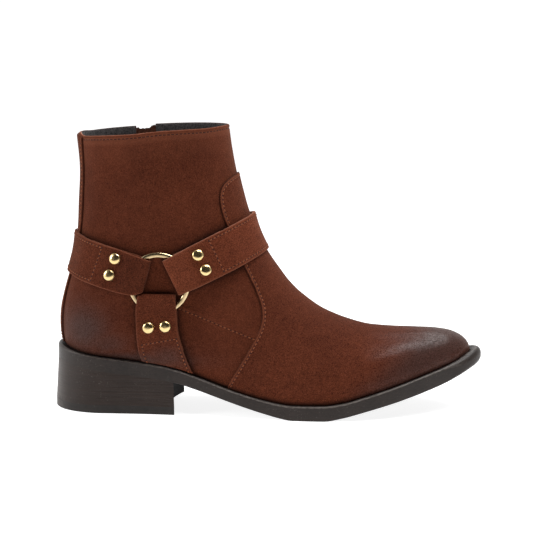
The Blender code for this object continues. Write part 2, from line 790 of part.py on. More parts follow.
def build_sole(parts):
    rim = GAP / 2
    outer, edge, lip = sole_loop(), sole_loop(bevel=1.0), sole_loop(0.3)
    bed = offset_loop(feather_loop(), np.full(AROUND, -WALL - GAP))
    welt = Loft()
    stack = (
        (outer, lambda x: parting(x) + rim),
        (outer, lambda x: feather(x) - 1.2),
        (edge, feather),
        (offset_loop(feather_loop(), np.full(AROUND, -WALL)), feather),
        (offset_loop(feather_loop(), np.full(AROUND, -WALL)), lambda x: parting(x) + rim),
        (outer, lambda x: parting(x) + rim),
    )
    welt.sheet(np.array([at_height(loop, height) for loop, height in stack]), closed=True)
    welt.object("welt", "sole_leather", parts)
    plate("outsole", "sole_leather", parts, (
        (sole_loop(0.9, bevel=0.3), tread),
        (lip, lambda x: tread(x) + 0.9),
        (lip, lambda x: parting(x) - rim),
    ))
    plate("insole", "insole_leather", parts, (
        (bed, lambda x: parting(x) + rim),
        (bed, lambda x: feather(x) + 2.0),
    ))
    lip_grid = heel_grid(sole_loop(-0.3), HEEL["breast"], HEEL["hollow"])
    wide = heel_grid(sole_loop(flare=1.0), HEEL["breast"] + 0.5, HEEL["hollow"])
    flat = HEEL["lift"]
    foot = (wide, lambda x: np.full(x.shape, flat + GAP))
    heel_block("heel", "sole_leather", parts, foot, (lip_grid, lambda x: tread(x) - GAP))
    floor = (wide, lambda x: np.zeros(x.shape))
    heel_block("top_lift", "rubber", parts, floor, (wide, lambda x: np.full(x.shape, flat)))


def build_upper(parts, cutters):
    upper = shell("upper", "suede", parts, -WALL, 0.0)
    cut(upper, prism("zip slot", zip_outline(ZIP["slot"], over=30.0), *ZIP_SIDE, cutters))
    front = np.array(VAMP_EDGE)
    outline = spline(VAMP_EDGE, 34).tolist() + [[160.0, 155.0], [160.0, 5.0], [front[0, 0], 5.0]]
    vamp = shell("vamp", "suede", parts, *OVERLAY)
    cut(vamp, prism("vamp outline", outline, -90.0, 90.0, cutters), "INTERSECT")
    outline = spline(BACKSTAY_EDGE, 14).tolist() + [[-160.0, 190.0], [-160.0, 36.0]]
    stay = shell("backstay", "suede", parts, *OVERLAY)
    cut(stay, prism("backstay outline", outline, -90.0, 90.0, cutters), "INTERSECT")


def build_ring(parts, frame):
    wide, thick = RING["wide"] / 2, RING["thick"] / 2
    bpy.ops.mesh.primitive_torus_add(
        major_segments=RING["segments"], minor_segments=8,
        major_radius=(RING["outer"] - wide) * MM, minor_radius=wide * MM,
    )
    ring = bpy.context.object
    data = ring.data
    bpy.data.objects.remove(ring)
    data.transform(Matrix.Diagonal((1.0, 1.0, thick / wide, 1.0)))
    add("ring", data, "brass", parts, frame.matrix())


def build_harness(parts, cutters):
    frame = RingFrame()
    build_ring(parts, frame)
    straps = {name: Strap(name, frame) for name in STRAPS}
    solids = {name: strap.solid(name, parts, cutters) for name, strap in straps.items()}
    r = RIVET
    profile = (
        (0.0, r["dome"]),
        (r["radius"] * 0.42, r["dome"] * 0.95),
        (r["radius"] * 0.8, r["dome"] * 0.76),
        (r["radius"], r["seat"] + r["rim"]),
        (r["radius"], r["seat"]),
        (r["shank"], r["seat"]),
        (r["shank"], -r["depth"]),
        (0.0, -r["depth"]),
    )
    for name, (strap, x, z) in RIVETS.items():
        matrix = straps[strap].matrix_at(x, z, r["radius"])
        turned(name, "brass", parts, profile, r["segments"], matrix)
        wide, low = r["shank"] + GAP, -r["depth"] - GAP
        cut(solids[strap], cylinder(f"{name} hole", None, cutters, wide, low, 2.0, 8, matrix))


def zip_band(name, kind, parts, cutters, heights, half, drop):
    """A band of the upper's own shape along the zip's line."""
    band = shell(name, kind, parts, *heights)
    outline = zip_outline(half, top_drop=drop)
    cut(band, prism(f"{name} outline", outline, *ZIP_SIDE, cutters), "INTERSECT")


def build_zip(parts, cutters):
    zip_band("zip_tape", "tape", parts, cutters, ZIP["tape"], ZIP["slot"] - GAP, -0.8)
    zip_band("zip_chain", "brass", parts, cutters, ZIP["chain"], ZIP["chain_half"], 3.0)
    point, down, side, out = zip_frame(SLIDER_AT)
    on_chain = placing(point, down, side, out)
    on_pin = placing(point + out * SLIDER["pin_height"], out, down, side)
    s, p = SLIDER, PULL
    low = ZIP["chain"][1] + GAP
    top = low + s["thick"]
    half = p["wide"] / 2 + GAP
    long, wide = s["long"] / 2, s["wide"] / 2
    slider = box("zip_slider", "brass", parts, (-long, -wide, low), (long, wide, top), on_chain)
    for name, near, far in (("left", -half - s["lug"], -half), ("right", half, half + s["lug"])):
        ends = (-1.4, near, top - 0.6), (1.4, far, s["pin_height"] + 1.4)
        cut(slider, box(f"{name} lug", None, cutters, *ends, on_chain), "UNION")
    reach = half + s["lug"] / 2
    cut(slider, cylinder("pin", None, cutters, s["pin"], -reach, reach, 8, on_pin), "UNION")
    thick, wide = p["thick"] / 2, p["wide"] / 2
    pull = box("zip_pull", "brass", parts, (-thick, 1.3, -wide), (thick, p["long"], wide), on_pin)
    cut(pull, cylinder("eye", None, cutters, p["ring"], -wide, wide, 12, on_pin), "UNION")
    cut(pull, cylinder("eye hole", None, cutters, p["eye"], -9.0, 9.0, 12, on_pin))


def main():
    for old in list(bpy.data.objects):
        bpy.data.objects.remove(old)
    parts = bpy.data.collections.new("harness_boot")
    cutters = bpy.data.collections.new("cutters")
    for group in (parts, cutters):
        bpy.context.scene.collection.children.link(group)
    build_sole(parts)
    build_upper(parts, cutters)
    build_harness(parts, cutters)
    build_zip(parts, cutters)
    for helper in cutters.objects:
        helper.hide_render = True
        helper.display_type = "WIRE"


main()
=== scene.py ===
"""Looks of the harness ankle boot: suede upper, stitching, brass harness and a worn leather sole.

Frame: metres, +X from heel to toe, -Y the lateral side, +Z up. Tables are in millimetres.
"""

import json
from math import cos, pi, radians, sin

import bmesh
import bpy
import numpy as np
from mathutils import Matrix, Vector

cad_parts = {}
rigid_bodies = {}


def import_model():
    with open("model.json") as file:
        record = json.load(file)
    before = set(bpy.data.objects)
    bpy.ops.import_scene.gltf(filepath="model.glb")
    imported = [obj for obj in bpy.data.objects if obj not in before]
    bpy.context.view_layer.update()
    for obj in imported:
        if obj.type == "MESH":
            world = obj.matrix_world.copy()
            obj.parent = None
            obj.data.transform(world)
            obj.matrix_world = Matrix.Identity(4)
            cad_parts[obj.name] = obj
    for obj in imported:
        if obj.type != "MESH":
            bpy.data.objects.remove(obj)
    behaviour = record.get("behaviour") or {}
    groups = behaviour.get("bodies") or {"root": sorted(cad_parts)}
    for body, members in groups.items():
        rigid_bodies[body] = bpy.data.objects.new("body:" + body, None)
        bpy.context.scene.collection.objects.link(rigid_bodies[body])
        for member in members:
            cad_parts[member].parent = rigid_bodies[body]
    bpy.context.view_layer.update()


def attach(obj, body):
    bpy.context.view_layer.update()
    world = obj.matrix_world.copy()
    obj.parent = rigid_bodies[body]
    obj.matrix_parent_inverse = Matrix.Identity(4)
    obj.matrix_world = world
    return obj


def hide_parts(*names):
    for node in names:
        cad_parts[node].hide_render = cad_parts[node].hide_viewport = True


MM = 0.001
ORIGIN = np.array([0.53, 0.17, 0.0])  # the frame's origin, in the tables' millimetres

# Shape of the last, as in the solids.
FRONT = (  # x, z, depth over which the width rounds off
    (131.8, 37.4, 13.0), (130.6, 41.0, 13.0), (127.2, 44.8, 14.0), (121.0, 48.0, 16.0),
    (112.0, 49.7, 19.0), (98.0, 50.4, 24.0), (80.0, 51.0, 31.0), (66.0, 52.4, 36.0),
    (54.0, 55.4, 40.0), (42.0, 60.2, 44.0), (30.0, 66.9, 46.0), (20.0, 74.6, 46.0),
    (10.0, 86.4, 46.0), (0.5, 99.6, 46.0), (-7.4, 114.0, 45.0), (-12.7, 128.0, 46.0),
    (-16.6, 142.0, 48.0), (-19.8, 155.5, 50.0), (-22.3, 169.0, 50.0), (-24.4, 184.4, 50.0),
)
BACK = (  # x, z, depth over which the width rounds off
    (-133.4, 43.0, 29.0), (-134.3, 49.0, 29.0), (-134.6, 56.0, 30.0), (-133.9, 65.0, 32.0),
    (-131.4, 76.0, 36.0), (-127.6, 89.0, 40.0), (-124.2, 101.0, 44.0), (-122.2, 115.0, 47.0),
    (-121.0, 134.0, 49.0), (-119.8, 157.0, 47.0), (-121.4, 179.4, 38.0),
)
COLLAR_BOW = 0.6  # rise of the collar's middle over a straight line
SOLE_LINE = (  # x, tread, feather
    (-142.0, 34.2, 43.4), (-130.0, 31.4, 40.6), (-117.0, 28.8, 38.0), (-105.0, 27.1, 36.3),
    (-93.0, 25.8, 35.0), (-81.0, 24.5, 33.6), (-68.0, 22.8, 31.7), (-56.0, 20.6, 29.1),
    (-47.0, 18.1, 26.4), (-38.0, 15.3, 23.4), (-25.0, 11.1, 19.0), (-12.0, 7.0, 15.0),
    (0.0, 3.6, 12.0), (10.0, 1.2, 10.2), (18.0, 0.0, 9.4), (38.0, 0.0, 9.6), (50.0, 2.0, 11.2),
    (60.0, 4.5, 13.8), (72.0, 7.6, 17.2), (87.0, 11.5, 21.6), (101.0, 15.3, 25.8),
    (116.0, 20.0, 30.4), (126.0, 23.9, 33.9), (134.0, 27.5, 36.8), (144.0, 32.0, 40.6),
)
PARTING_SHARE = 0.56  # where the welt meets the outsole, from the tread to the feather
PLAN = (  # x, lateral half width, medial half width
    (-140.0, 27.0, 26.8), (-105.0, 27.6, 27.0), (-80.0, 28.4, 27.0), (-60.0, 30.0, 26.8),
    (-40.0, 32.8, 26.8), (-20.0, 36.4, 29.4), (0.0, 39.2, 33.8), (20.0, 42.0, 38.6),
    (36.0, 43.0, 41.4), (50.0, 42.6, 42.4), (65.0, 40.4, 40.8), (80.0, 36.8, 36.0),
    (95.0, 30.4, 30.0), (110.0, 22.8, 22.6), (122.0, 15.8, 15.6), (136.0, 9.0, 9.0),
)
SHAFT = ((40.0, 38.0), (70.0, 36.0), (95.0, 34.4), (125.0, 33.0), (185.0, 33.4))  # z, half width
SHAFT_BLEND = (34.0, 108.0)  # heights between which the plan's widths pass into the shaft's
TOE_SWING = {"from": 5.0, "to": 132.0, "shift": 5.0}
TUCK = {"share": 0.05, "depth": 5.0}  # how much narrower the upper is at the feather, and how soon that ends
WALL = 2.2
REACH = (  # x, how far the sole stands out, flare of the heel's foot
    (-136.0, 4.3, 2.0), (-110.0, 3.2, 0.7), (-50.0, 3.4, 0.5), (0.0, 4.0, 0.5),
    (40.0, 4.4, 0.5), (90.0, 4.4, 0.5), (118.0, 4.8, 0.5), (134.0, 9.4, 0.5),
)

# Collar: the band of close rows below the rim, and the sewn row's drop from the rim.
COLLAR_BAND = 9.0
SEWN_DROP = 2.5
RIM_MARKS = (0.1, 0.3, 0.5, 0.9, 1.4, 1.9, 1.9)  # paleness of the cut edge, from outside to inside

# Overlay edges in side view.
VAMP_EDGE = (  # x, z
    (-26.0, 14.0), (-22.4, 22.1), (-17.5, 30.6), (-11.6, 40.7), (-6.4, 50.0), (-3.6, 55.5),
    (-1.9, 62.0), (-2.1, 69.3), (-5.8, 79.6), (-13.6, 95.3), (-20.5, 110.0), (-25.2, 122.7),
    (-27.3, 128.5), (-28.9, 135.2), (-29.3, 140.5), (-28.3, 145.4), (-25.4, 149.2),
    (-21.0, 152.2), (-16.0, 154.0), (-8.0, 155.0),
)
BACKSTAY_EDGE = (  # x, z
    (-132.4, 36.0), (-132.2, 59.3), (-130.4, 73.2), (-126.6, 87.4),
    (-121.5, 104.0), (-118.2, 122.7), (-116.6, 145.0), (-116.2, 190.0),
)
OVERLAY_TOP = 1.4  # height of an overlay over the upper
VAMP_ROW, BACKSTAY_ROW = 2.1, 1.7  # distance of the stitches from the cut edge
FOOT = ((1.9, 1.2), (1.5, 0.5), (0.8, 0.1))  # down, in: how the upper turns under at the welt
QUARTER_SEAM = ((-55.0, 70.6), (-5.0, 51.2))
SEAM_ROW = -0.6  # height of the stitches over the seam's line

# Harness.
RING = {"x": -66.5, "z": 86.6, "outer": 20.0, "wide": 3.5, "thick": 2.6, "lift": 2.9}
# edges: distance from the ring, low edge, high edge; inner: height of the under layer over the upper; under:
# where the under layer ends; switch: where a strap goes on round the boot to end_x; stand: how far it stands
# off in front; cross: distance of the sewn row at each edge; inset: of the rows along the edges; settle:
# where it comes down on the upper; shade_and_grime: painted shadow, with some grime, beside it;
# raw: paleness of its cut edges; dim: how much darker it is by the ring.
STRAPS = {
    "strap_back": {
        "edges": ((8.6, -12.6, 8.2), (15.0, -13.4, 11.8), (24.0, -13.9, 12.6), (46.0, -14.0, 13.0)),
        "angle": 165.5, "inner": 1.95, "switch": 46.0, "end_x": -81.5, "stand": 0.0, "cross": (38.8, 40.9),
        "under": 47.0, "inset": (2.2, 2.2), "settle": (19.5, 28.0), "shade_and_grime": 0.3, "raw": 1.2, "dim": 0.2,
    },
    "strap_front": {
        "edges": ((8.6, -12.2, 11.8), (15.0, -12.4, 12.4), (24.0, -12.7, 12.7), (46.0, -13.0, 13.2)),
        "angle": 25.0, "inner": 1.95, "switch": 44.0, "end_x": -61.5, "stand": 1.6, "cross": (39.0, 38.6),
        "under": 47.0, "inset": (2.2, 2.2), "settle": (19.5, 28.0), "shade_and_grime": 0.75, "raw": 1.25, "dim": -0.1,
    },
    "strap_side": {
        "edges": ((7.6, -13.3, 10.4), (17.0, -14.8, 11.0), (29.0, -14.9, 11.4), (36.0, -14.8, 12.6),
                  (44.5, -14.2, 15.2), (51.0, -12.3, 17.5), (55.0, -10.3, 19.1), (61.0, -7.0, 21.2)),
        "angle": 270.0, "inner": 0.6, "cross": (40.2, 35.7),
        "under": 44.0, "inset": (3.1, 1.7), "settle": (19.5, 50.0), "shade_and_grime": 0.55, "raw": 0.6, "dim": 0.0,
    },
}
STRAP_LAYER = 1.35  # room that a layer of a strap takes
LEATHER, WRAP_LEATHER = 1.22, 2.3  # thickness of a strap of one layer and of two
THICKEN = (46.0, 56.0)  # where a strap grows from one layer to two
LAYER_END = (47.0, 62.0)  # where the outer layer comes down past the under layer's end
NOSE = 2.4  # length of the fold's round end
POCKET_ROOM = 0.35  # gap between the ring and the fold
RIVETS = {  # node: strap, x, z, how far the crown leans up
    "rivet_back_upper": ("strap_back", -92.8, 101.6, 0.14),
    "rivet_back_lower": ("strap_back", -96.7, 91.2, 0.16),
    "rivet_front_upper": ("strap_front", -42.3, 104.2, 0.18),
    "rivet_front_lower": ("strap_front", -37.3, 94.8, 0.18),
    "rivet_side_rear": ("strap_side", -73.3, 58.2, 0.34),
    "rivet_side_fore": ("strap_side", -62.5, 59.1, 0.34),
}
RIVET = {"radius": 3.9, "seat": 0.3, "dome": 2.3, "rim": 0.5}

# Sole.
HEEL = {"breast": -58.5, "hollow": 6.5, "lift": 5.2}
GAP = 0.3  # between the insole and the upper
TOE_NOSE = (112.0, 135.0)  # where the welt's nose grows round

# Zip on the medial side.
ZIP_TOP, ZIP_FOOT = np.array([-82.0, 178.4]), np.array([-71.0, 62.0])
ZIP = {"slot": 6.6, "tape": -0.6, "row": 2.2, "tooth": 1.45}
ZIP_SIDE = (12.0, 80.0)  # span of y that the slot is cut through
SLIDER_AT = 0.075  # share down the zip's line
HINGE_AT = np.array([-81.905, 37.785, 169.582])  # the pull's hinge, as in the record
HINGE_AXIS = np.array([-0.985803, -0.140013, -0.092673])
SLIDER = {"long": 9.0, "wide": 7.6, "thick": 1.8, "low": 1.3, "pin": 0.7, "pin_height": 5.25}
PULL = {"long": 24.0, "wide": 4.8, "thick": 1.3}

# Soft troughs and ridges of the leather, on both sides.
FOLDS = (  # x, z, half length, half width, angle, height
    (-106.0, 150.0, 34.0, 7.0, 92.0, 0.45), (-92.0, 138.0, 30.0, 8.0, 84.0, -0.5),
    (-72.0, 150.0, 26.0, 9.0, 100.0, 0.35), (-50.0, 136.0, 26.0, 8.0, 108.0, -0.45),
    (-36.0, 160.0, 22.0, 7.0, 98.0, 0.3), (-88.0, 114.0, 20.0, 5.0, 165.0, -0.4),
    (-40.0, 78.0, 22.0, 7.0, 60.0, -0.35), (-20.0, 66.0, 18.0, 6.0, 75.0, 0.3),
    (-34.0, 40.0, 16.0, 7.0, 20.0, -0.3), (-100.0, 66.0, 16.0, 7.0, 20.0, -0.4),
    (6.0, 74.0, 22.0, 5.0, 58.0, -0.4), (18.0, 60.0, 20.0, 6.0, 62.0, 0.35),
    (30.0, 46.0, 22.0, 6.0, 66.0, -0.35), (46.0, 36.0, 20.0, 7.0, 60.0, 0.3),
    (60.0, 36.0, 18.0, 6.0, 64.0, -0.25),
)
# Burnished places, and the shoulder of the toe along which it shines.
BURNISH = (  # x, z, radius along, radius up, strength
    (-116.5, 55.0, 16.5, 17.0, 0.9),
    (-103.0, 45.0, 17.0, 9.0, 0.6),
    (-84.0, 35.5, 40.0, 5.5, 0.72),
    (-62.0, 38.0, 14.0, 8.0, 0.6),
)
TOE_BURNISH = {"from": 42.0, "to": 84.0, "level": 15.0}
TOE_SHOULDER = (  # x, z
    (58.0, 33.5), (73.0, 38.5), (86.0, 43.2), (99.0, 46.2), (112.0, 48.2), (121.0, 47.8),
)

CAMERA = {"azimuth": 2.7, "elevation": 9.39, "distance": 1.0, "lens": 102.2, "target": (2.0, 0.0, 89.5)}


# Curves and the last's surface


def hermite(x, y, slope, at):
    """Values between x of a curve whose values and slopes at x are known."""
    i = np.clip(np.searchsorted(x, at, side="right") - 1, 0, len(x) - 2)
    h = (x[i + 1] - x[i])[..., None]
    t = (at - x[i])[..., None] / h
    first, last = (1 - t) ** 2, t * t
    start = (1 + 2 * t) * first * y[i] + t * first * h * slope[i]
    return start + last * (3 - 2 * t) * y[i + 1] + last * (t - 1) * h * slope[i + 1]


def table(rows, at):
    """Columns of a table as smooth functions of its first column."""
    rows = np.array(rows, float)
    x, y = rows[:, 0], rows[:, 1:]
    step = np.diff(x)[:, None]
    rise = np.diff(y, axis=0) / step
    same = rise[:-1] * rise[1:] > 0
    before, after = np.where(same, rise[:-1], 1.0), np.where(same, rise[1:], 1.0)
    mean = (2 * step[1:] + step[:-1]) / before + (step[1:] + 2 * step[:-1]) / after
    inside = np.where(same, 3 * (step[1:] + step[:-1]) / mean, 0.0)
    slope = np.concatenate([rise[:1], inside, rise[-1:]])
    at = np.clip(np.asarray(at, float), x[0], x[-1])
    return np.moveaxis(hermite(x, y, slope, at), -1, 0)


def run_of(curve):
    """Distance of each point of a curve from its start."""
    return np.append(0.0, np.cumsum(np.linalg.norm(np.diff(curve, axis=0), axis=1)))


def looked_up(rows, run, at):
    """Rows at distances along their run."""
    return np.stack([np.interp(at, run, column) for column in rows.T], axis=-1)


def resample(curve, count):
    run = run_of(curve)
    return looked_up(curve, run, np.linspace(0, run[-1], count))


def spline(points, count):
    """A smooth curve through points, sampled evenly along its length."""
    points = np.array(points, float)
    at = run_of(points[:, :2])
    slope = np.gradient(points, at, axis=0)
    return resample(hermite(at, points, slope, np.linspace(0, at[-1], 4 * count)), count)


def smooth(low, high, at):
    t = np.clip((np.asarray(at, float) - low) / (high - low), 0, 1)
    return t * t * (3 - 2 * t)


def bell(at, wide):
    """1 at 0, and close to 0 at twice the width."""
    return np.exp(-((at / wide) ** 2))


def unit(vectors):
    size = np.linalg.norm(vectors, axis=-1, keepdims=True)
    return vectors / np.where(size > 1e-9, size, 1.0)


FRONT_CURVE = spline(FRONT, 1200)
BACK_CURVE = spline(BACK, 800)
ZIP_LENGTH = np.linalg.norm(ZIP_FOOT - ZIP_TOP)
ZIP_ACROSS = np.array([ZIP_TOP[1] - ZIP_FOOT[1], ZIP_FOOT[0] - ZIP_TOP[0]]) / ZIP_LENGTH


def tread(x):
    return table(SOLE_LINE, x)[0]


def feather(x):
    return table(SOLE_LINE, x)[1]


def parting(x, share=PARTING_SHARE):
    """Height at a share of the way from the tread to the feather."""
    low, high = table(SOLE_LINE, x)
    return low + (high - low) * share


def swing(x):
    """Sideways shift of the last's centre line: the toe leans to the medial side."""
    t = TOE_SWING
    return t["shift"] * np.clip((np.asarray(x, float) - t["from"]) / (t["to"] - t["from"]), 0, 1.1) ** 2


def rounding(curve, x, z, batch=4000):
    """How far the width has grown at a depth below a profile, from 0 on it to 1 at its round depth."""
    flat = np.stack([np.ravel(x), np.ravel(z)], axis=1)
    share = np.empty(len(flat))
    across = (curve[:, :2] ** 2).sum(axis=1)
    for start in range(0, len(flat), batch):
        part = flat[start : start + batch]
        near = (across[None, :] - 2 * part @ curve[:, :2].T).argmin(axis=1)
        # The nearest point of the polyline lies on one of the two chords beside the nearest sample.
        depth = np.full(len(part), 1e9)
        for a, b in ((near - 1, near), (near, near + 1)):
            a, b = np.clip(a, 0, len(curve) - 1), np.clip(b, 0, len(curve) - 1)
            way = curve[b, :2] - curve[a, :2]
            size = (way**2).sum(axis=1)
            t = ((part - curve[a, :2]) * way).sum(axis=1) / np.where(size > 0, size, 1.0)
            foot = curve[a, :2] + way * np.clip(t, 0, 1)[:, None]
            depth = np.minimum(depth, np.linalg.norm(part - foot, axis=1))
        t = np.clip(depth / curve[near, 2], 0, 1)
        share[start : start + batch] = np.sqrt(t * (2 - t))
    return share.reshape(np.shape(x))


def half_widths(x, z):
    body = table(SHAFT, z)[0]
    up = smooth(*SHAFT_BLEND, z)
    round_off = rounding(FRONT_CURVE, x, z) * rounding(BACK_CURVE, x, z)
    tuck = 1 - TUCK["share"] * np.exp(-np.maximum(z - feather(x), 0) / TUCK["depth"])
    return [(side + (body - side) * up) * round_off * tuck for side in table(PLAN, x)]


def along(curve, v):
    place = np.clip(v, 0, 1) * (len(curve) - 1)
    return [np.interp(place, np.arange(len(curve)), curve[:, k]) for k in (0, 1)]


def side_view(share, v):
    """x and z at a share of the way from back profile to front profile and v from feather to collar."""
    x, z = [(1 - share) * b + share * f for b, f in zip(along(BACK_CURVE, v), along(FRONT_CURVE, v))]
    heel, toe = BACK_CURVE[0, 0], FRONT_CURVE[0, 0]
    hollow = feather(heel + (toe - heel) * share) - (1 - share) * feather(heel) - share * feather(toe)
    return x, z + (1 - v) * hollow + v * COLLAR_BOW * 4 * share * (1 - share)


def skin(u, v):
    """Outer face of the upper. u runs from the back over the lateral side to the front, then the medial."""
    u, v = np.broadcast_arrays(np.asarray(u, float), np.asarray(v, float))
    x, z = side_view((1 - np.cos(u)) / 2, v)
    lateral, medial = half_widths(x, z)
    y = swing(x) + np.where(np.sin(u) >= 0, -lateral, medial)
    return np.stack([x, y, z], axis=-1)


def normal(u, v, step=0.012):
    u, v = np.broadcast_arrays(np.asarray(u, float), np.asarray(v, float))
    round_way = skin(u + step, v) - skin(u - step, v)
    up_way = skin(u, np.minimum(v + step, 1)) - skin(u, np.maximum(v - step, 0))
    return unit(np.cross(round_way, up_way))


def locate(x, z, rounds=14, step=1e-4):
    """The share and v whose side view is this x and z."""
    x, z = np.broadcast_arrays(np.asarray(x, float), np.asarray(z, float))
    share = np.clip((x - BACK_CURVE[0, 0]) / (FRONT_CURVE[0, 0] - BACK_CURVE[0, 0]), 0.05, 0.95)
    v = np.clip((z - 30) / 150, 0.05, 0.95)
    for _ in range(rounds):
        here = np.stack(side_view(share, v))
        ds = (np.stack(side_view(share + step, v)) - here) / step
        dv = (np.stack(side_view(share, v + step)) - here) / step
        miss = np.stack([x, z]) - here
        det = ds[0] * dv[1] - ds[1] * dv[0]
        share = np.clip(share + (miss[0] * dv[1] - miss[1] * dv[0]) / det, 0.002, 0.998)
        v = np.clip(v + (ds[0] * miss[1] - ds[1] * miss[0]) / det, 0.002, 0.998)
    return share, v


def turn_of(share):
    """u on the lateral side at a share of the side view."""
    return np.arccos(1 - 2 * share)


def outer_face(x, z, medial=False):
    """Points of the upper's outer face with this x and z, and the normals there."""
    share, v = locate(x, z)
    u = 2 * pi - turn_of(share) if medial else turn_of(share)
    return skin(u, v), normal(u, v)


def grid_normals(grid, closed=False):
    """Normals of a grid whose rows run up and whose columns run round."""
    up_way = np.gradient(grid, axis=0)
    if closed:
        round_way = np.roll(grid, -1, axis=1) - np.roll(grid, 1, axis=1)
    else:
        round_way = np.gradient(grid, axis=1)
    return unit(np.cross(round_way, up_way))


# Relief, grime and burnish of the leather


def relief(points):
    """Height of the soft folds at points of the upper."""
    x, z = points[..., 0], points[..., 2]
    height = np.zeros(x.shape)
    for cx, cz, long, wide, angle, rise in FOLDS:
        c, s = cos(radians(angle)), sin(radians(angle))
        a = (x - cx) * c + (z - cz) * s
        b = (z - cz) * c - (x - cx) * s
        height += rise * bell(a, long) * bell(b - 0.12 * a * a / long, wide)
    return height


def strap_axes(row):
    """A strap's ways along and across it, in side view."""
    angle = radians(row["angle"])
    return np.array([cos(angle), sin(angle)]), np.array([-sin(angle), cos(angle)])


def strap_shade_and_grime(points):
    """Painted shade, with some grime, on the upper close to the straps' edges on the lateral side."""
    off = points[..., [0, 2]] - np.array([RING["x"], RING["z"]])
    dark = np.zeros(off.shape[:-1])
    for row in STRAPS.values():
        way, across = strap_axes(row)
        s, d = off @ way, off @ across
        low, high = table(row["edges"], s)
        beside = np.maximum(np.maximum(low - d, d - high), 0)
        before = np.maximum(row["edges"][0][0] - s, 0)
        dark = np.maximum(dark, row["shade_and_grime"] * bell(np.hypot(beside, before), 2.0) * (s < 80))
    return dark * (points[..., 1] < 0)


def foot_painted_shade(points):
    """Painted shade on the upper just above the welt."""
    return 0.75 * bell(np.maximum(points[..., 2] - feather(points[..., 0]) - 0.3, 0), 1.7)


def burnish_of(points):
    """How far the leather is burnished, from 0 to 1."""
    x, z = points[..., 0], points[..., 2]
    t = TOE_BURNISH
    above = np.maximum(z - feather(x), 0)
    dark = smooth(t["from"], t["to"], x - (z - t["level"])) * (1 - 0.55 * bell(above, 6.0))
    for cx, cz, long, high, strength in BURNISH:
        dark = np.maximum(dark, strength * bell(x - cx, long) * bell(z - cz, high))
    return np.clip(dark, 0, 1)


def polish_of(points):
    """How far the leather shines: on the toe, most along its shoulder, and a little where it is burnished."""
    x, z = points[..., 0], points[..., 2]
    t = TOE_BURNISH
    shoulder = bell(z - table(TOE_SHOULDER, x)[0], 2.3)
    toe = smooth(t["from"], t["to"] - 2.0, x - 0.5 * (z - t["level"])) * (0.26 + 0.26 * shoulder)
    toe *= 0.82 + 0.45 * smooth(92.0, 118.0, x)
    return np.clip(np.maximum(toe, 0.3 * burnish_of(points)), 0, 1)


# Meshes


class Sheets:
    """Collects grids of points as quads for one mesh."""

    def __init__(self):
        self.points, self.faces, self.slots, self.marks = [], [], [], []
        self.count = 0

    def add(self, grid, around=False, loop=False, slot=0, flip=False, mark=0.0):
        """around joins the last column to the first, loop the last row to the first."""
        grid = np.asarray(grid, float)
        rows, columns = grid.shape[:2]
        index = self.count + np.arange(rows * columns).reshape(rows, columns)
        if around:
            index = np.concatenate([index, index[:, :1]], axis=1)
        if loop:
            index = np.concatenate([index, index[:1]], axis=0)
        quads = np.stack([index[:-1, :-1], index[:-1, 1:], index[1:, 1:], index[1:, :-1]], axis=-1)
        self.slots.append(np.broadcast_to(np.reshape(slot, (-1, 1)), quads.shape[:2]).ravel())
        quads = quads.reshape(-1, 4)
        self.faces.append(quads[:, ::-1] if flip else quads)
        self.points.append(grid.reshape(-1, 3))
        self.marks.append(np.broadcast_to(mark, (rows, columns)).ravel())
        self.count += rows * columns
        return self

    def mesh(self, name, weld=None):
        points = (np.concatenate(self.points) - ORIGIN) * MM
        data = bpy.data.meshes.new(name)
        data.from_pydata(points.tolist(), [], np.concatenate(self.faces).tolist())
        data.polygons.foreach_set("material_index", np.concatenate(self.slots).astype(np.int32))
        store(data, "edge", np.concatenate(self.marks))
        if weld:
            shape = bmesh.new()
            shape.from_mesh(data)
            bmesh.ops.remove_doubles(shape, verts=shape.verts[:], dist=weld * MM)
            bmesh.ops.recalc_face_normals(shape, faces=shape.faces[:])
            shape.to_mesh(data)
            shape.free()
        return data


def store(data, name, values):
    """Keeps a value for each point of a mesh, for its material."""
    held = data.attributes.new(name, "FLOAT", "POINT")
    held.data.foreach_set("value", values.astype(np.float32))


def add_object(name, data):
    made = bpy.data.objects.new(name, data)
    bpy.context.scene.collection.objects.link(made)
    return made


def place_piece(name, data, materials, nodes=(), body="boot", sharp=40.0, weld=None):
    """Makes a mesh, or sheets, a piece of the boot that rides on a body and stands for CAD nodes."""
    if isinstance(data, Sheets):
        data = data.mesh(name, weld)
    made = add_object(name, data)
    for material in materials:
        data.materials.append(material)
    data.shade_smooth()
    data.set_sharp_from_angle(angle=radians(sharp))
    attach(made, body)
    if nodes:
        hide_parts(*nodes)
    return made


def suede_piece(name, data, materials, nodes, weld=None, sharp=50.0):
    """A piece that keeps how far each of its points is burnished and how far it shines."""
    if isinstance(data, Sheets):
        data = data.mesh(name, weld)
    points = np.empty(len(data.vertices) * 3, np.float32)
    data.vertices.foreach_get("co", points)
    points = points.reshape(-1, 3) / MM + ORIGIN
    store(data, "burnish", burnish_of(points))
    store(data, "polish", polish_of(points))
    place_piece(name, data, materials, nodes, sharp=sharp)


def shape_mesh(name, shape):
    """The mesh of a bmesh, which is then done with."""
    data = bpy.data.meshes.new(name)
    shape.to_mesh(data)
    shape.free()
    return data


def local_mesh(name, shape, matrix):
    """A bmesh in millimetres of a local frame, set in the boot by a matrix."""
    bmesh.ops.recalc_face_normals(shape, faces=shape.faces[:])
    shape.transform(matrix @ Matrix.Scale(MM, 4))
    return shape_mesh(name, shape)


def merge(shape, part, matrix):
    """Adds a bmesh, moved by a matrix, to another."""
    part.transform(matrix)
    held = shape_mesh("part", part)
    shape.from_mesh(held)
    bpy.data.meshes.remove(held)


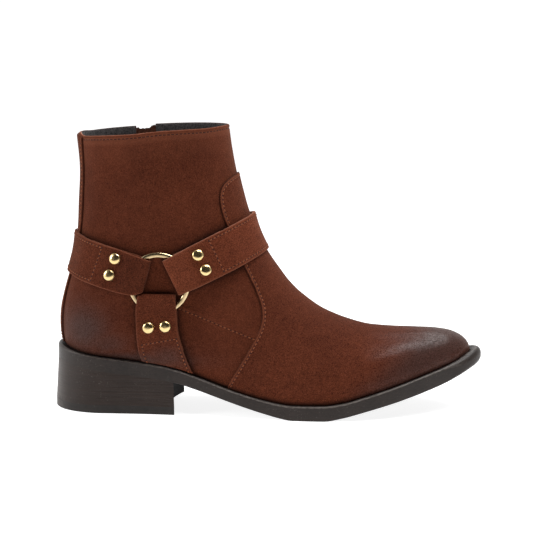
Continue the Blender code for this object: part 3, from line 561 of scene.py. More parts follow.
def placing(point, first, second, third):
    """The matrix of a local frame at a point, with these three axes."""
    place = (Vector(point) - Vector(ORIGIN)) * MM
    rows = [[first[k], second[k], third[k], place[k]] for k in range(3)]
    return Matrix([*rows, [0.0, 0.0, 0.0, 1.0]])


def prism(corners, way):
    """A closed block: a face run along a vector."""
    shape = bmesh.new()
    face = shape.faces.new([shape.verts.new(corner) for corner in corners])
    run = bmesh.ops.extrude_face_region(shape, geom=[face])
    moved = [item for item in run["geom"] if isinstance(item, bmesh.types.BMVert)]
    bmesh.ops.translate(shape, verts=moved, vec=way)
    bmesh.ops.recalc_face_normals(shape, faces=shape.faces[:])
    return shape


def lathe(profile, segments=48):
    """A profile of (radius, height) turned round the third axis."""
    shape = bmesh.new()
    verts = [shape.verts.new((r, 0.0, h)) for r, h in profile]
    edges = [shape.edges.new(pair) for pair in zip(verts, verts[1:])]
    turn = {"cent": (0, 0, 0), "axis": (0, 0, 1), "angle": 2 * pi, "steps": segments, "use_merge": True}
    bmesh.ops.spin(shape, geom=verts + edges, **turn)
    bmesh.ops.remove_doubles(shape, verts=shape.verts[:], dist=1e-4)
    return shape


# Stitching


class Thread:
    """Collects rows of stitches, each a short raised thread between two needle holes."""

    long = 1.75
    rings = (  # share of the half length, share of the radius, height
        (-1.0, 0.35, -0.30), (-0.72, 0.85, 0.02), (-0.25, 1.0, 0.12),
        (0.25, 1.0, 0.12), (0.72, 0.85, 0.02), (1.0, 0.35, -0.30),
    )
    hole_rings = ((1.0, -0.06), (0.8, 0.03), (0.02, 0.0))  # share of the hole's radius, height
    stand = 0.05

    def __init__(self):
        self.stitches, self.holes = Sheets(), Sheets()

    def row(self, path, out, pitch=2.7, radius=0.36, hole=0.5, sunk=0.0):
        """Stitches along a path of points with its normals; sunk rows show little but their holes."""
        path, out = np.asarray(path, float), np.asarray(out, float)
        keep = np.append(True, np.linalg.norm(np.diff(path, axis=0), axis=1) > 1e-6)
        path, out = path[keep], out[keep]
        run = run_of(path)
        count = int(run[-1] / pitch)
        around = np.arange(6) * pi / 3
        c, s = np.cos(around)[:, None], np.sin(around)[:, None]

        def frames(at):
            way = unit(looked_up(path, run, at + 0.2) - looked_up(path, run, at - 0.2))
            up = unit(looked_up(out, run, at))
            return zip(looked_up(path, run, at), way, up, np.cross(way, up))

        for spot, way, up, side in frames((np.arange(count) + 0.5) * run[-1] / count):
            rings = []
            for share, wide, lift in self.rings:
                centre = spot + way * (share * self.long / 2) + up * (lift + self.stand - sunk)
                rings.append(centre + wide * radius * (c * side + 0.85 * s * up))
            self.stitches.add(rings, around=True)
        for spot, way, up, side in frames(np.linspace(0, run[-1], count + 1)):
            rings = []
            for size, lift in self.hole_rings:
                rings.append(spot + up * (self.stand + lift) + hole * size * (1.3 * c * way + s * side))
            self.holes.add(rings, around=True)

    def pieces(self, name, thread, dark):
        place_piece(f"{name}_thread", self.stitches, [thread])
        place_piece(f"{name}_holes", self.holes, [dark])


def inside_path(grid, normals, depth, level, columns):
    """The line on a grid at which depth, which grows along the chosen columns, meets a level."""
    path, out = [], []
    for r in range(grid.shape[0]):
        run = depth[r, columns]
        stop = int(np.argmax(run > level))
        if stop == 0:
            continue
        share = (level - run[stop - 1]) / (run[stop] - run[stop - 1])
        a, b = columns[stop - 1], columns[stop]
        path.append(grid[r, a] + (grid[r, b] - grid[r, a]) * share)
        out.append(normals[r, a])
    return np.array(path), np.array(out)


# Upper


def upper_grids(around=360):
    """Rows of points up the outside, over the collar and down the inside."""
    u = np.arange(around) * 2 * pi / around
    half = WALL / 2
    rise = (skin(u, 1.0)[:, 2] - skin(u, 0.99)[:, 2]) / 0.01
    drops = np.concatenate([np.linspace(COLLAR_BAND, 4.2, 6), np.linspace(3.9, half, 11)])
    main = (1 - COLLAR_BAND / rise) * (np.linspace(0, 1, 112)[:-1, None] ** 1.05)
    base = skin(u, np.concatenate([main, 1 - drops[:, None] / rise]))
    out = grid_normals(base, closed=True)
    drop = np.append(np.full(len(main), 99.0), drops)[:, None]
    sewn = 0.16 * bell(drop - SEWN_DROP + 1.4, 0.7) - 0.28 * bell(drop - SEWN_DROP, 0.55)
    outer = base + out * (relief(base) * smooth(1.0, 7.0, drop) + sewn)[..., None]
    rim = []
    for a in np.linspace(0, pi, 9)[1:-1]:
        rim.append(outer[-1] + out[-1] * half * (cos(a) - 1) + np.array([0, 0, half * sin(a)]))
    base_in = skin(u, (1 - half / rise) * np.linspace(1, 0, 46)[:, None])
    inner = base_in - grid_normals(base_in[::-1], closed=True)[::-1] * WALL
    return outer, out, drops, np.array(rim), inner


def collar_dip(points):
    """The collar lies a little lower at the back, and more so on the lateral side."""
    y, z = points[..., 1], points[..., 2]
    share = (points[..., 0] - BACK_CURVE[-1, 0]) / (FRONT_CURVE[-1, 0] - BACK_CURVE[-1, 0])
    dip = 0.8 * (1 - smooth(0.85, 1.0, share)) + 1.2 * (1 - smooth(0.36, 0.62, share))
    dip *= smooth(-4.0, -14.0, y)
    dip += 0.75 * (1 - smooth(0.36, 0.46, share)) * smooth(4.0, 14.0, y)
    dip *= smooth(0.0, 0.07, share)
    return points - (dip * smooth(120.0, 178.0, z))[..., None] * np.array([0.0, 0.0, 1.0])


def zip_spot(t, w):
    """Places in side view at shares down the zip's line and distances across it."""
    return ZIP_TOP + (ZIP_FOOT - ZIP_TOP) * t[..., None] + ZIP_ACROSS * w[..., None]


def zip_surface(t, w):
    """Points and normals of the medial face at shares down the zip's line and distances across it."""
    spot = zip_spot(t, w)
    return outer_face(spot[..., 0], spot[..., 1], medial=True)


def cut_slot(data, material, over=30.0):
    """The shell with the zip's slot cut out of it, from well above the collar."""
    t, w = np.array([-over / ZIP_LENGTH] * 2 + [1.0] * 2), ZIP["slot"] * np.array([-1, 1, 1, -1])
    corners = [(Vector((x, ZIP_SIDE[0], z)) - Vector(ORIGIN)) * MM for x, z in zip_spot(t, w)]
    block = shape_mesh("slot", prism(corners, (0.0, (ZIP_SIDE[1] - ZIP_SIDE[0]) * MM, 0.0)))
    block.materials.append(material)
    cutter, helper = add_object("slot", block), add_object("to cut", data)
    step = helper.modifiers.new("slot", "BOOLEAN")
    step.solver = "EXACT"
    step.object = cutter
    graph = bpy.context.evaluated_depsgraph_get()
    made = bpy.data.meshes.new_from_object(helper.evaluated_get(graph))
    for done in (helper, cutter):
        bpy.data.objects.remove(done)
    return made


def turned_in(row, out):
    """Rows below a piece's lower edge, turned in under it down to the welt."""
    return np.array([row - out * inward - np.array([0.0, 0.0, down]) for down, inward in FOOT])


def build_upper(m):
    """The upper's piece; gives back the path and normals of the collar's sewn row."""
    outer, out, drops, rim, inner = upper_grids()
    outer = np.concatenate([turned_in(outer[0], out[0]), outer])
    grid = collar_dip(np.concatenate([outer, rim, inner]))
    count = len(outer)
    outer = grid[:count]
    slots = np.zeros(len(grid), int)
    slots[count + 5 : -1] = 1
    # The nap is paler below the collar. Painted shade darkens it beside the straps and welt, with some
    # grime by the straps. The near rim's cut edge is pale, the far rim darker.
    drop = outer[-1, :, 2] + WALL / 2 - outer[..., 2]
    pale = 0.12 * (1 - smooth(9.0, 22.0, drop)) + 0.27 * (1 - smooth(4.5, 7.5, drop))
    mark = np.zeros(grid.shape[:2])
    mark[:count] = pale - np.maximum(strap_shade_and_grime(outer), foot_painted_shade(outer))
    near = smooth(6.0, -10.0, grid[count, :, 1])
    mark[count - 1 : count + 6] = np.array(RIM_MARKS)[:, None] * near - 0.6 * (1 - near)
    data = Sheets().add(grid, around=True, loop=True, slot=slots, mark=mark).mesh("upper shell")
    for material in ("suede", "lining"):
        data.materials.append(m[material])
    suede_piece("upper_suede", cut_slot(data, m["suede"]), (), ["upper"], sharp=55.0)
    sewn = int(np.argmin(np.abs(drops - SEWN_DROP))) - len(drops)
    path, out = outer[sewn], out[sewn]
    # The sewn row stops on either side of the zip.
    off = (path[:, [0, 2]] - ZIP_TOP) @ ZIP_ACROSS
    gap = (path[:, 1] > 0) & (np.abs(off) < ZIP["slot"] + 1.0)
    start = int(np.nonzero(gap & ~np.roll(gap, -1))[0][0]) + 1
    order = np.roll(np.arange(len(path)), -start)[: int((~gap).sum())]
    return path[order], out[order]


def overlay_edge(edge, count):
    """u and v along an overlay's edge on the lateral side, evenly spaced."""
    line = spline(edge, count)
    share, v = locate(line[:, 0], line[:, 1])
    inside = (v > 0.0045) & (v < 0.9975) & (share > 0.0022) & (share < 0.996)
    return turn_of(share[inside]), v[inside]


def edge_distance(grid):
    """Distance from each point of a grid to the grid's own long edges."""
    flat = grid.reshape(-1, 3)
    size = (flat**2).sum(1)[:, None]
    apart = [(size + (e**2).sum(1) - 2 * flat @ e.T).min(axis=1) for e in (grid[:, 0], grid[:, -1])]
    return np.sqrt(np.maximum(np.minimum(*apart), 0)).reshape(grid.shape[:2])


def widened(grid):
    """The grid with its first and last columns doubled."""
    return np.concatenate([grid[:, :1], grid, grid[:, -1:]], axis=1)


def overlay_sheet(base, out):
    """A layer with a rounded cut edge and a pressed line: its grid, marks, face and depth from the edge."""
    depth = edge_distance(base)
    round_off = np.sqrt(1 - (1 - np.clip(depth / 0.75, 0, 1)) ** 2)
    height = 0.1 + (OVERLAY_TOP - 0.1) * round_off - 0.24 * bell(depth - VAMP_ROW, 0.55)
    outer = base + out * (height + relief(base) * smooth(0, 6, depth))[..., None]
    # A painted highlight along the rounded edge, and painted shade at the cut edge's foot.
    mark = 0.6 * bell(depth - 0.95, 0.4) - 0.6 * bell(depth, 0.32)
    skirt = base - out * 0.5
    grid = np.concatenate([skirt[:, :1], outer, skirt[:, -1:]], axis=1)
    grid = np.concatenate([turned_in(grid[0], widened(out)[0]), grid])
    mark = widened(mark)
    return grid, np.concatenate([mark[:1]] * len(FOOT) + [mark]), outer, depth


def build_vamp(m, half=78):
    """The vamp's piece; gives back the paths of its stitches."""
    u, v = overlay_edge(VAMP_EDGE, 420)
    v = np.maximum.accumulate(v + np.arange(len(v)) * 1e-7)
    pick = np.linspace(0, len(v) - 1, 190).astype(int)
    u, v = np.append(u[pick], pi - 0.004), np.append(v[pick], v[pick[-1]] + 0.0012)
    u[0], v[0] = u[0] + (u[0] - u[1]) * v[0] / (v[1] - v[0]), 0.0
    lateral = u[:, None] + (pi - u)[:, None] * np.linspace(0, 1, half + 1) ** 1.55
    columns = np.concatenate([lateral, 2 * pi - lateral[:, -2::-1]], axis=1)
    base = skin(columns, v[:, None])
    out = grid_normals(base)
    out[-1] = out[-2]
    grid, mark, outer, depth = overlay_sheet(base, out)
    # Painted shade just above the welt.
    sheets = Sheets().add(grid, mark=mark - foot_painted_shade(grid))
    suede_piece("vamp_suede", sheets, [m["vamp"]], ["vamp"], sharp=70.0)
    near, far = np.arange(half + 1), np.arange(2 * half, half - 1, -1)
    return [inside_path(outer, out, depth, VAMP_ROW, side) for side in (near, far)]


def build_backstay(m, half=20):
    """The backstay's piece; gives back the paths of its stitches."""
    u, v = overlay_edge(BACKSTAY_EDGE, 200)
    share = np.linspace(-1, 1, 2 * half + 1)
    share = np.sign(share) * (1 - (1 - np.abs(share)) ** 1.5)
    base = collar_dip(skin(u[:, None] * share, v[:, None]))
    out = grid_normals(base)
    grid, mark, outer, depth = overlay_sheet(base, out)
    # The top is folded in over the collar's edge.
    wide_out, rows = widened(out), slice(len(FOOT), None)
    drop = grid[-1, half, 2] - grid[rows, :1, 2]
    grid[rows] = grid[rows] - wide_out * (1.3 * np.exp(-drop / 0.5))[..., None]
    grid = np.concatenate([grid, grid[-1:] - wide_out[-1:] * 1.2])
    sheets = Sheets().add(grid, mark=np.concatenate([mark, mark[-1:]]))
    suede_piece("backstay_suede", sheets, [m["suede"]], ["backstay"], sharp=70.0)
    near, far = np.arange(2 * half, half - 1, -1), np.arange(half + 1)
    return [inside_path(outer[:-6], out, depth, BACKSTAY_ROW, side) for side in (near, far)]


def build_quarter_seam(m, thread, rows=90):
    """A folded seam on each quarter: a soft ridge with its stitches just below."""
    line = resample(np.array(QUARTER_SEAM), rows)
    way = unit(line[-1] - line[0])
    off = np.linspace(-3.4, 5.2, 36)
    ridge = 0.75 * bell(off - 1.5, 1.25) - 0.16 * bell(off - SEAM_ROW, 0.5)
    profile = ridge + 0.12 - 0.3 * smooth(0.55, 1.0, np.abs(off - 0.9) / 4.3)
    ends = smooth(0, 5, np.arange(rows))[:, None]
    spot = line[:, None, :] + np.array([-way[1], way[0]]) * off[None, :, None]
    sewn = int(np.argmin(np.abs(off - SEAM_ROW)))
    sheets = Sheets()
    for medial in (False, True):
        base, out = outer_face(spot[..., 0], spot[..., 1], medial)
        grid = base + out * (profile * ends + relief(base) - 0.25 * (1 - ends))[..., None]
        sheets.add(grid, flip=not medial)
        thread.row(grid[:, sewn], out[:, sewn])
    suede_piece("quarter_seam", sheets, [m["suede"]], (), sharp=80.0)


# Harness


class RingFrame:
    """The plane of the ring: it lies over the upper at the ring's centre."""

    def __init__(self):
        base, self.out = outer_face(RING["x"], RING["z"])
        self.centre = base + self.out * RING["lift"]
        self.fore = unit(np.cross([0.0, 0.0, 1.0], self.out))
        self.up = np.cross(self.out, self.fore)

    def over(self, x, z, height):
        """The point at height above the ring's plane that has this x and z in side view."""
        n = self.out
        drop = (x - self.centre[0]) * n[0] + (z - self.centre[2]) * n[2] - height
        return np.stack([x, self.centre[1] - drop / n[1], z], axis=-1)


class Strap:
    """A strap folded round the ring: an under layer, the fold, and the outer layer laid on the upper.

    s is the distance from the ring along the strap, d the distance across it.
    """

    columns = (1 - np.cos(np.linspace(0, pi, 29))) / 2

    def __init__(self, name, ring):
        self.name, self.ring, self.row = name, ring, STRAPS[name]
        self.way, self.across = strap_axes(self.row)
        self.start = self.row["edges"][0][0] + NOSE
        self.switch = self.row.get("switch")

    def side_point(self, s, d):
        x = RING["x"] + s * self.way[0] + d * self.across[0]
        z = RING["z"] + s * self.way[1] + d * self.across[1]
        return x, z

    def thickness(self, s):
        thick = WRAP_LEATHER if self.switch else LEATHER
        return LEATHER + (thick - LEATHER) * smooth(*THICKEN, s)

    def top_height(self, s):
        return self.row["inner"] + STRAP_LAYER * (2 - smooth(*LAYER_END, s))

    def lay(self, s, d, flat, on):
        """Points that pass from a height over the ring's plane to one over the upper, and the way out."""
        x, z = self.side_point(s, d)
        base, out = outer_face(x, z)
        begin = self.ring.over(x, z, flat)
        end = base + out * np.broadcast_to(on, np.shape(s))[..., None]
        return begin + (end - begin) * smooth(*self.row["settle"], s)[..., None], out

    def over(self, s, d):
        """Middle of the outer layer on the lateral side, and the way out."""
        half = self.thickness(s) / 2
        flat = RING["thick"] / 2 + POCKET_ROOM + STRAP_LAYER - half
        return self.lay(s, d, flat, self.top_height(s) - half)

    def under(self, s, d):
        """Middle of the under layer, and the way out."""
        return self.lay(s, d, -RING["thick"] / 2 - POCKET_ROOM - LEATHER / 2, self.row["inner"] + LEATHER / 2)

    def spread(self, s):
        """s and d of rows across the strap."""
        low, high = table(self.row["edges"], s)
        d = low[:, None] + (high - low)[:, None] * self.columns
        return np.broadcast_to(s[:, None], d.shape), d

    def foot(self, run):
        """s and d of rows down a strap that ends on the welt, at shares of its length."""
        s = np.broadcast_to(run[:, None] * 55.0, (len(run), len(self.columns)))
        for _ in range(3):
            low, high = table(self.row["edges"], s)
            d = low + (high - low) * self.columns
            end = RING["z"] - feather(RING["x"] + d) + 1.0
            s = self.start + (end - self.start) * run[:, None]
        return s, d

    def wrap(self):
        """Rows carried on round the boot to the zip on the medial side, and their distances."""
        d = self.spread(np.array([self.switch]))[1][0]
        start = turn_of(locate(*self.side_point(self.switch, d))[0])
        reach = (self.row["end_x"] - RING["x"]) / self.way[0]
        lift = RING["z"] + reach * self.way[1] + d / self.across[1]
        end = turn_of(locate(self.row["end_x"], lift)[0])
        end = -end if self.way[0] < 0 else 2 * pi - end
        u = start + (end - start) * np.linspace(0, 1, 111)[1:, None]
        # v is halved in on until the strap keeps its own line in side view.
        low_v, high_v = np.zeros(u.shape), np.ones(u.shape)
        for _ in range(40):
            v = (low_v + high_v) / 2
            x, z = side_view((1 - np.cos(u)) / 2, v)
            off = (x - RING["x"]) * self.across[0] + (z - RING["z"]) * self.across[1]
            above = (off > d) == (self.across[1] > 0)
            high_v, low_v = np.where(above, v, high_v), np.where(above, low_v, v)
        base, out = skin(u, v), normal(u, v)
        run = self.switch + 1.3 + run_of(base[:, len(d) // 2])
        stand = self.row["stand"] * (1 - smooth(0.3, 1.1, np.abs(u - pi))) * (1 + d / d.max()) / 2
        height = (self.top_height(run) - self.thickness(run) / 2)[:, None] + stand
        return base + out * height[..., None], run

    def middle(self):
        """Middle surface from the under layer's end, round the fold and on; also the distance of each row."""
        under, _ = self.under(*self.spread(np.linspace(self.row["under"], self.start, 34)))
        if self.switch:
            s = np.linspace(self.start, self.switch, 64)
            over, _ = self.over(*self.spread(s))
            more, run = self.wrap()
            over, s = np.concatenate([over, more]), np.append(s, run)
            self.reach = np.broadcast_to(s[:, None], over.shape[:2])
        else:
            self.reach, d = self.foot(np.linspace(0, 1, 64))
            over, _ = self.over(self.reach, d)
            s = self.reach[:, len(self.columns) // 2]
        half, centre = (over[0] - under[-1]) / 2, (over[0] + under[-1]) / 2
        back = -unit(over[3] - over[0])
        fold = [centre + half * sin(a) + back * NOSE * cos(a) for a in np.linspace(-pi / 2, pi / 2, 15)[1:-1]]
        self.first = len(under) + len(fold)
        return np.concatenate([under, fold, over]), np.append(np.zeros(self.first), s)

    def build(self, m):
        """The strap's piece. Keeps its outer face for the stitches."""
        rows, s = self.middle()
        down = s[:, None]
        out = grid_normals(rows)
        if out[self.first + 8, 14, 1] > 0:
            out = -out
        width = np.linalg.norm(rows[:, -1] - rows[:, 0], axis=1)[:, None]
        depth = np.minimum(self.columns, 1 - self.columns) * width
        round_off = np.sqrt(1 - 0.72 * (1 - np.clip(depth / 0.5, 0, 1)) ** 2)
        half = self.thickness(down) / 2 * round_off
        # Only straps of two layers have rows pressed in along their edges and a groove between the layers.
        double = 1.0 if self.switch else 0.0
        pressed = double * 0.2 * bell(depth - self.row["inset"][0], 0.5) * smooth(38.0, 44.0, down)
        groove = (double * 0.28 * smooth(*THICKEN, down))[..., None]
        ripple = 0.10 * np.sin(down / 5.3 + 1.1) * np.sin(self.columns * 5.0 + down / 17.0)
        top = rows + out * (half - pressed + ripple * smooth(10, 20, down))[..., None]
        low = rows - out * half[..., None]
        notches = [rows[:, a] + unit(rows[:, b] - rows[:, a]) * groove[:, 0] for a, b in ((-1, -2), (0, 1))]
        grid = np.concatenate([top, notches[0][:, None], low[:, ::-1], notches[1][:, None]], axis=1)
        mark = self.row["raw"] * np.exp(-depth / 0.42) - self.row["dim"] * (1 - smooth(18.0, 44.0, down))
        mark = np.concatenate([mark, mark[:, -1:], mark[:, ::-1], mark[:, :1]], axis=1)
        sheets = Sheets().add(grid, around=True, mark=mark, flip=True)
        for end in (0, -1):
            sheets.add(np.stack([top[end], low[end]]), mark=0.8)
        suede_piece(f"{self.name}_suede", sheets, [m[self.name]], [self.name], weld=0.0005, sharp=62.0)
        self.top, self.out = top, out

    def column_reach(self, share):
        """Distances from the ring of the outer face's rows at a share across."""
        return np.array([np.interp(share, self.columns, row) for row in self.reach])

    def spot(self, s, share):
        """Point and normal of the outer face at a distance from the ring and a share across."""
        at = self.first + np.interp(s, self.column_reach(share), np.arange(len(self.reach)))
        i = min(int(at), len(self.top) - 2)
        t = at - i
        point = [looked_up(self.top[r], self.columns, share) for r in (i, i + 1)]
        return point[0] * (1 - t) + point[1] * t, unit(looked_up(self.out[i], self.columns, share))

    def sew(self, thread):
        """A row across the strap, sunk in, and one along each edge from there on."""
        _, low_edge, high_edge = self.row["edges"][-1]
        inset = np.array(self.row["inset"]) / (high_edge - low_edge)
        low, high = inset[0], 1 - inset[1]
        cross = self.row["cross"]
        lines = [(zip(np.linspace(*cross, 40), np.linspace(low, high, 40)), 0.12)]
        for start, share in zip(cross, (low, high)):
            line = np.linspace(start, self.column_reach(share)[-1] - 1.2, 160)
            lines.append(([(s, share) for s in line], 0.0))
        for line, sunk in lines:
            path, out = zip(*[self.spot(*at) for at in line])
            thread.row(path, out, sunk=sunk)

    def matrix_at(self, x, z, radius, lean):
        """A frame whose third axis stands on the strap's outer face, clear of it over a radius."""
        off = np.array([x - RING["x"], z - RING["z"]])
        angle = np.arange(12) * pi / 6
        s = off @ self.way + np.append(radius * np.cos(angle), 0.0)
        d = off @ self.across + np.append(radius * np.sin(angle), 0.0)
        middle, out = self.over(s, d)
        face = middle + out * (self.thickness(s) / 2)[:, None]
        e1 = unit(face[0] - face[6])
        n = unit(np.cross(e1, face[3] - face[9]))
        n = -n if n[1] > 0 else n
        n = unit(n + np.array([0.0, 0.0, lean]))
        e1 = unit(e1 - n * (e1 @ n))
        seat = face[-1] + n * (((face - face[-1]) @ n).max() - 2.0 * lean)
        return placing(seat, e1, np.cross(n, e1), n)


def build_harness(m, thread):
    ring = RingFrame()
    wide, thick = RING["wide"] / 2, RING["thick"] / 2
    around = (np.arange(144) * 2 * pi / 144)[:, None, None]
    section = np.arange(28) * 2 * pi / 28
    radius = (RING["outer"] - wide + wide * np.cos(section))[:, None]
    spoke = np.cos(around) * ring.fore + np.sin(around) * ring.up
    place = ring.centre + radius * spoke + (thick * np.sin(section))[:, None] * ring.out
    # The mark paints a dark band round the ring's outward crown: a painted dark reflection.
    sheets = Sheets().add(place, around=True, loop=True, flip=True, mark=0.8 * bell(section - pi / 2, 0.42))
    place_piece("ring_brass", sheets, [m["ring"]], ["ring"], body="ring", sharp=80.0)
    straps = {}
    for name in STRAPS:
        straps[name] = Strap(name, ring)
        straps[name].build(m)
        straps[name].sew(thread)
    size, seat, rim = RIVET["radius"], RIVET["seat"], RIVET["rim"]
    profile = []
    for a in np.linspace(0, pi / 2, 19):
        profile.append((size * 0.955 * sin(a) ** 0.78, seat + rim + (RIVET["dome"] - rim) * cos(a)))
    profile += [(size, seat + rim * 0.7), (size * 0.985, seat), (size * 0.8, -0.5)]
    for node, (strap, x, z, lean) in RIVETS.items():
        data = local_mesh(f"{node} dome", lathe(profile), straps[strap].matrix_at(x, z, size, lean))
        place_piece(f"{node}_dome", data, [m["brass"]], [node], sharp=60.0)


# Sole


def raised(plan, height):
    """Points of a plan, each at its height."""
    return np.concatenate([plan, np.broadcast_to(height, plan.shape[:-1])[..., None]], axis=-1)


def feather_loop(reach=0.0, around=420):
    """The feather line in plan, moved out by reach, which may differ from point to point."""
    loop = skin(np.arange(around) * 2 * pi / around, 0.0)[:, :2]
    way = unit(np.roll(loop, -1, axis=0) - np.roll(loop, 1, axis=0))
    out = np.stack([way[:, 1], -way[:, 0]], axis=1)
    if (out[0] * loop[0]).sum() < 0:
        out = -out
    return loop + out * np.broadcast_to(reach, around)[:, None]


def sole_loop(inset=0.0, flare=0.0):
    reach, out = table(REACH, feather_loop()[:, 0])
    return feather_loop(reach - inset + out * flare)


def cap_rows(loop, height, columns=25):
    """Rows across a loop, from lateral to medial, each point at the height of its x."""
    share = np.linspace(0, 1, columns)[:, None]
    pairs = [(loop[k], loop[-k % len(loop)]) for k in range(len(loop) // 2 + 1)]
    grid = np.array([a + (b - a) * share for a, b in pairs])
    return raised(grid, height(grid[..., 0]))


def heel_grid(loop, breast, rows=70, columns=33):
    """Rows across the heel from its back to the hollowed breast."""
    half = len(loop) // 2
    near, far = loop[: half + 1], np.concatenate([loop[:1], loop[: half - 1 : -1]])
    share = np.linspace(0, 1, columns)
    grid = []
    for run in 1 - np.cos(np.linspace(0, pi / 2, rows)):
        x = loop[0, 0] + (breast - loop[0, 0]) * run
        a, b = [np.interp(x, side[:, 0], side[:, 1]) for side in (near, far)]
        back = HEEL["hollow"] * smooth(0.7, 1.0, run) * (1 - (2 * share - 1) ** 2)
        grid.append(np.stack([x - back, a + (b - a) * share], axis=1))
    return np.array(grid)


def heel_block(name, node, materials, low, high):
    """A block between two heel grids; its breast has the second material."""
    sheets = Sheets().add(low, flip=True).add(high)
    steps = np.linspace(0, 1, 9)[:, None, None]
    for edge, breast in ((np.s_[:, 0], 0), (np.s_[-1], 1), (np.s_[::-1, -1], 0)):
        side = low[edge] + (high[edge] - low[edge]) * steps
        # A mark on the heel's back for pale painted highlights along its layers.
        sheets.add(side, slot=breast, mark=0.6 * smooth(-126.0, -139.0, side[..., 0]))
    made = place_piece(name, sheets, materials, [node], weld=0.01)
    step = made.modifiers.new("rounded edges", "BEVEL")
    step.width = 0.14 * MM
    step.segments = 2
    step.limit_method = "ANGLE"
    step.angle_limit = radians(38.0)
    step.harden_normals = True


def welt_foot(x):
    """Height of the line between welt and outsole; it drops at the toe, where the nose is round."""
    return parting(x, PARTING_SHARE - 0.20 * smooth(*TOE_NOSE, x))


def round_sole(share):
    """A loop of the sole's edge with its lower edge rounded off; share runs from 0 at the tread to 1."""
    x = sole_loop()[:, 0]
    toe, front = smooth(116.0, 135.0, x), smooth(-63.0, -53.0, x)
    wide, high = (0.5 + 2.2 * toe) * front, (0.7 + 2.2 * toe) * front
    a = share * pi / 2
    loop = sole_loop(wide * (1 - sin(a)))
    return raised(loop, tread(loop[:, 0]) + high * (1 - cos(a)))


def welt_top(x):
    """Height of the welt's top; it is raised at the toe."""
    return feather(x) + 1.5 * smooth(121.0, 135.0, x)


def welt_sheets(outer, foot):
    """The welt: up its side, over its rounded edge and in to the upper."""
    x = outer[:, 0]
    toe, rear, heel = smooth(*TOE_NOSE, x), smooth(-120.0, -136.0, x), smooth(-65.0, -95.0, x)
    bevel, high = 1.3 + 3.6 * toe + 0.9 * rear, 1.2 + 4.8 * toe + 1.4 * rear
    inner, none = feather_loop(-WALL), np.zeros(len(outer))
    rows = [raised(inner, welt_foot(inner[:, 0])), foot]
    low, top = welt_foot(x), welt_top(x) - high
    for share in np.linspace(0.25, 1, 4):
        rows.append(raised(outer, low + (top - low) * share))
    mark = [none] * len(rows)
    for a in np.radians(np.linspace(8, 90, 9)):
        edge = sole_loop(bevel * (1 - cos(a)))
        rows.append(raised(edge, welt_top(edge[:, 0]) - high * (1 - sin(a))))
        # Mark peaking where the bevel faces up and out: rubbed wear and a painted highlight.
        mark.append(min(1.0, 1.6 * sin(2 * a)) * (1 - 0.95 * toe * (a < 1.2)) * (1 - 0.55 * heel))
    for reach, drop in ((0.8, 0.05), (-0.4, 0.6), (-WALL, 0.6)):
        loop = feather_loop(reach)
        rows.append(raised(loop, feather(loop[:, 0]) - drop))
        mark.append(none)
    return Sheets().add(rows, around=True, loop=True, mark=np.array(mark))


def build_sole(m):
    outer = sole_loop()
    foot = raised(outer, welt_foot(outer[:, 0]))
    sheets = welt_sheets(outer, foot)
    place_piece("welt_leather", sheets, [m["sole"]], ["welt"], sharp=50.0, weld=0.0005)

    rows = [round_sole(share) for share in np.linspace(0, 1, 7)] + [foot]
    sheets = Sheets().add(rows, around=True)
    sheets.add(cap_rows(rows[0][:, :2], tread), slot=1).add(cap_rows(outer, welt_foot))
    faces = [m["sole"], m["tread"]]
    place_piece("outsole_leather", sheets, faces, ["outsole"], sharp=50.0, weld=0.01)

    bed = feather_loop(-WALL - GAP)
    edge = feather(bed[:, 0])
    sheets = Sheets().add([raised(bed, parting(bed[:, 0]) + 0.6), raised(bed, edge + 1.4)], around=True)
    sheets.add(cap_rows(bed, lambda x: feather(x) + 2.0, 41))
    place_piece("insole_sock", sheets, [m["lining"]], ["insole"], weld=0.01)

    top = heel_grid(outer, HEEL["breast"])
    wide = heel_grid(sole_loop(flare=1.0), HEEL["breast"] + 0.5)
    floor, lift = [raised(wide, level) for level in (0.0, HEEL["lift"])]
    top = raised(top, tread(top[..., 0]))
    heel_block("heel_stack", "heel", [m["heel"], m["breast"]], lift, top)
    heel_block("heel_top_piece", "top_lift", [m["top_lift"], m["breast"]], floor, lift)


# Zip


def rounded_plate(outline, low, high, bevel):
    """An outline of (x, y) points run up from low to high, with rounded edges."""
    shape = prism([(x, y, low) for x, y in outline], (0, 0, high - low))
    flat = [e for e in shape.edges if abs(e.verts[0].co.z - e.verts[1].co.z) < 1e-6]
    bmesh.ops.bevel(shape, geom=flat, offset=bevel, segments=3, profile=0.5, affect="EDGES")
    return shape


def plate_outline(rows, count=14):
    """A closed outline from half widths at stations along X."""
    rows = np.array(rows, float)
    x = rows[0, 0] + (rows[-1, 0] - rows[0, 0]) * (1 - np.cos(np.linspace(0, pi, count))) / 2
    y = np.interp(x, rows[:, 0], rows[:, 1])
    return [*zip(x, -y), *zip(x[::-1], y[::-1])]


def build_tape(m):
    w = np.linspace(-ZIP["slot"] - 0.3, ZIP["slot"] + 0.3, 61)
    # The tape's top is frayed: it stands higher beside the slot's edges, most on the front one.
    fray = 1.5 * smooth(2.4, 4.2, w) + 0.9 * smooth(-4.0, -5.6, w)
    top = -0.008 - (fray + 0.28 * np.sin(w * 4.1) * np.sin(w * 1.7 + 0.6)) / ZIP_LENGTH
    t = top + (1 - top) * np.linspace(0, 1, 150)[:, None]
    base, out = zip_surface(t, np.broadcast_to(w, t.shape))
    ribs = 0.25 * np.cos(w * 2.2) * smooth(2.0, 3.5, np.abs(w))
    sheets = Sheets().add(base + out * (ZIP["tape"] + ribs)[:, None]).add(base - out * 1.7, flip=True)
    place_piece("zip_tape_cloth", sheets, [m["tape"]], ["zip_tape"])


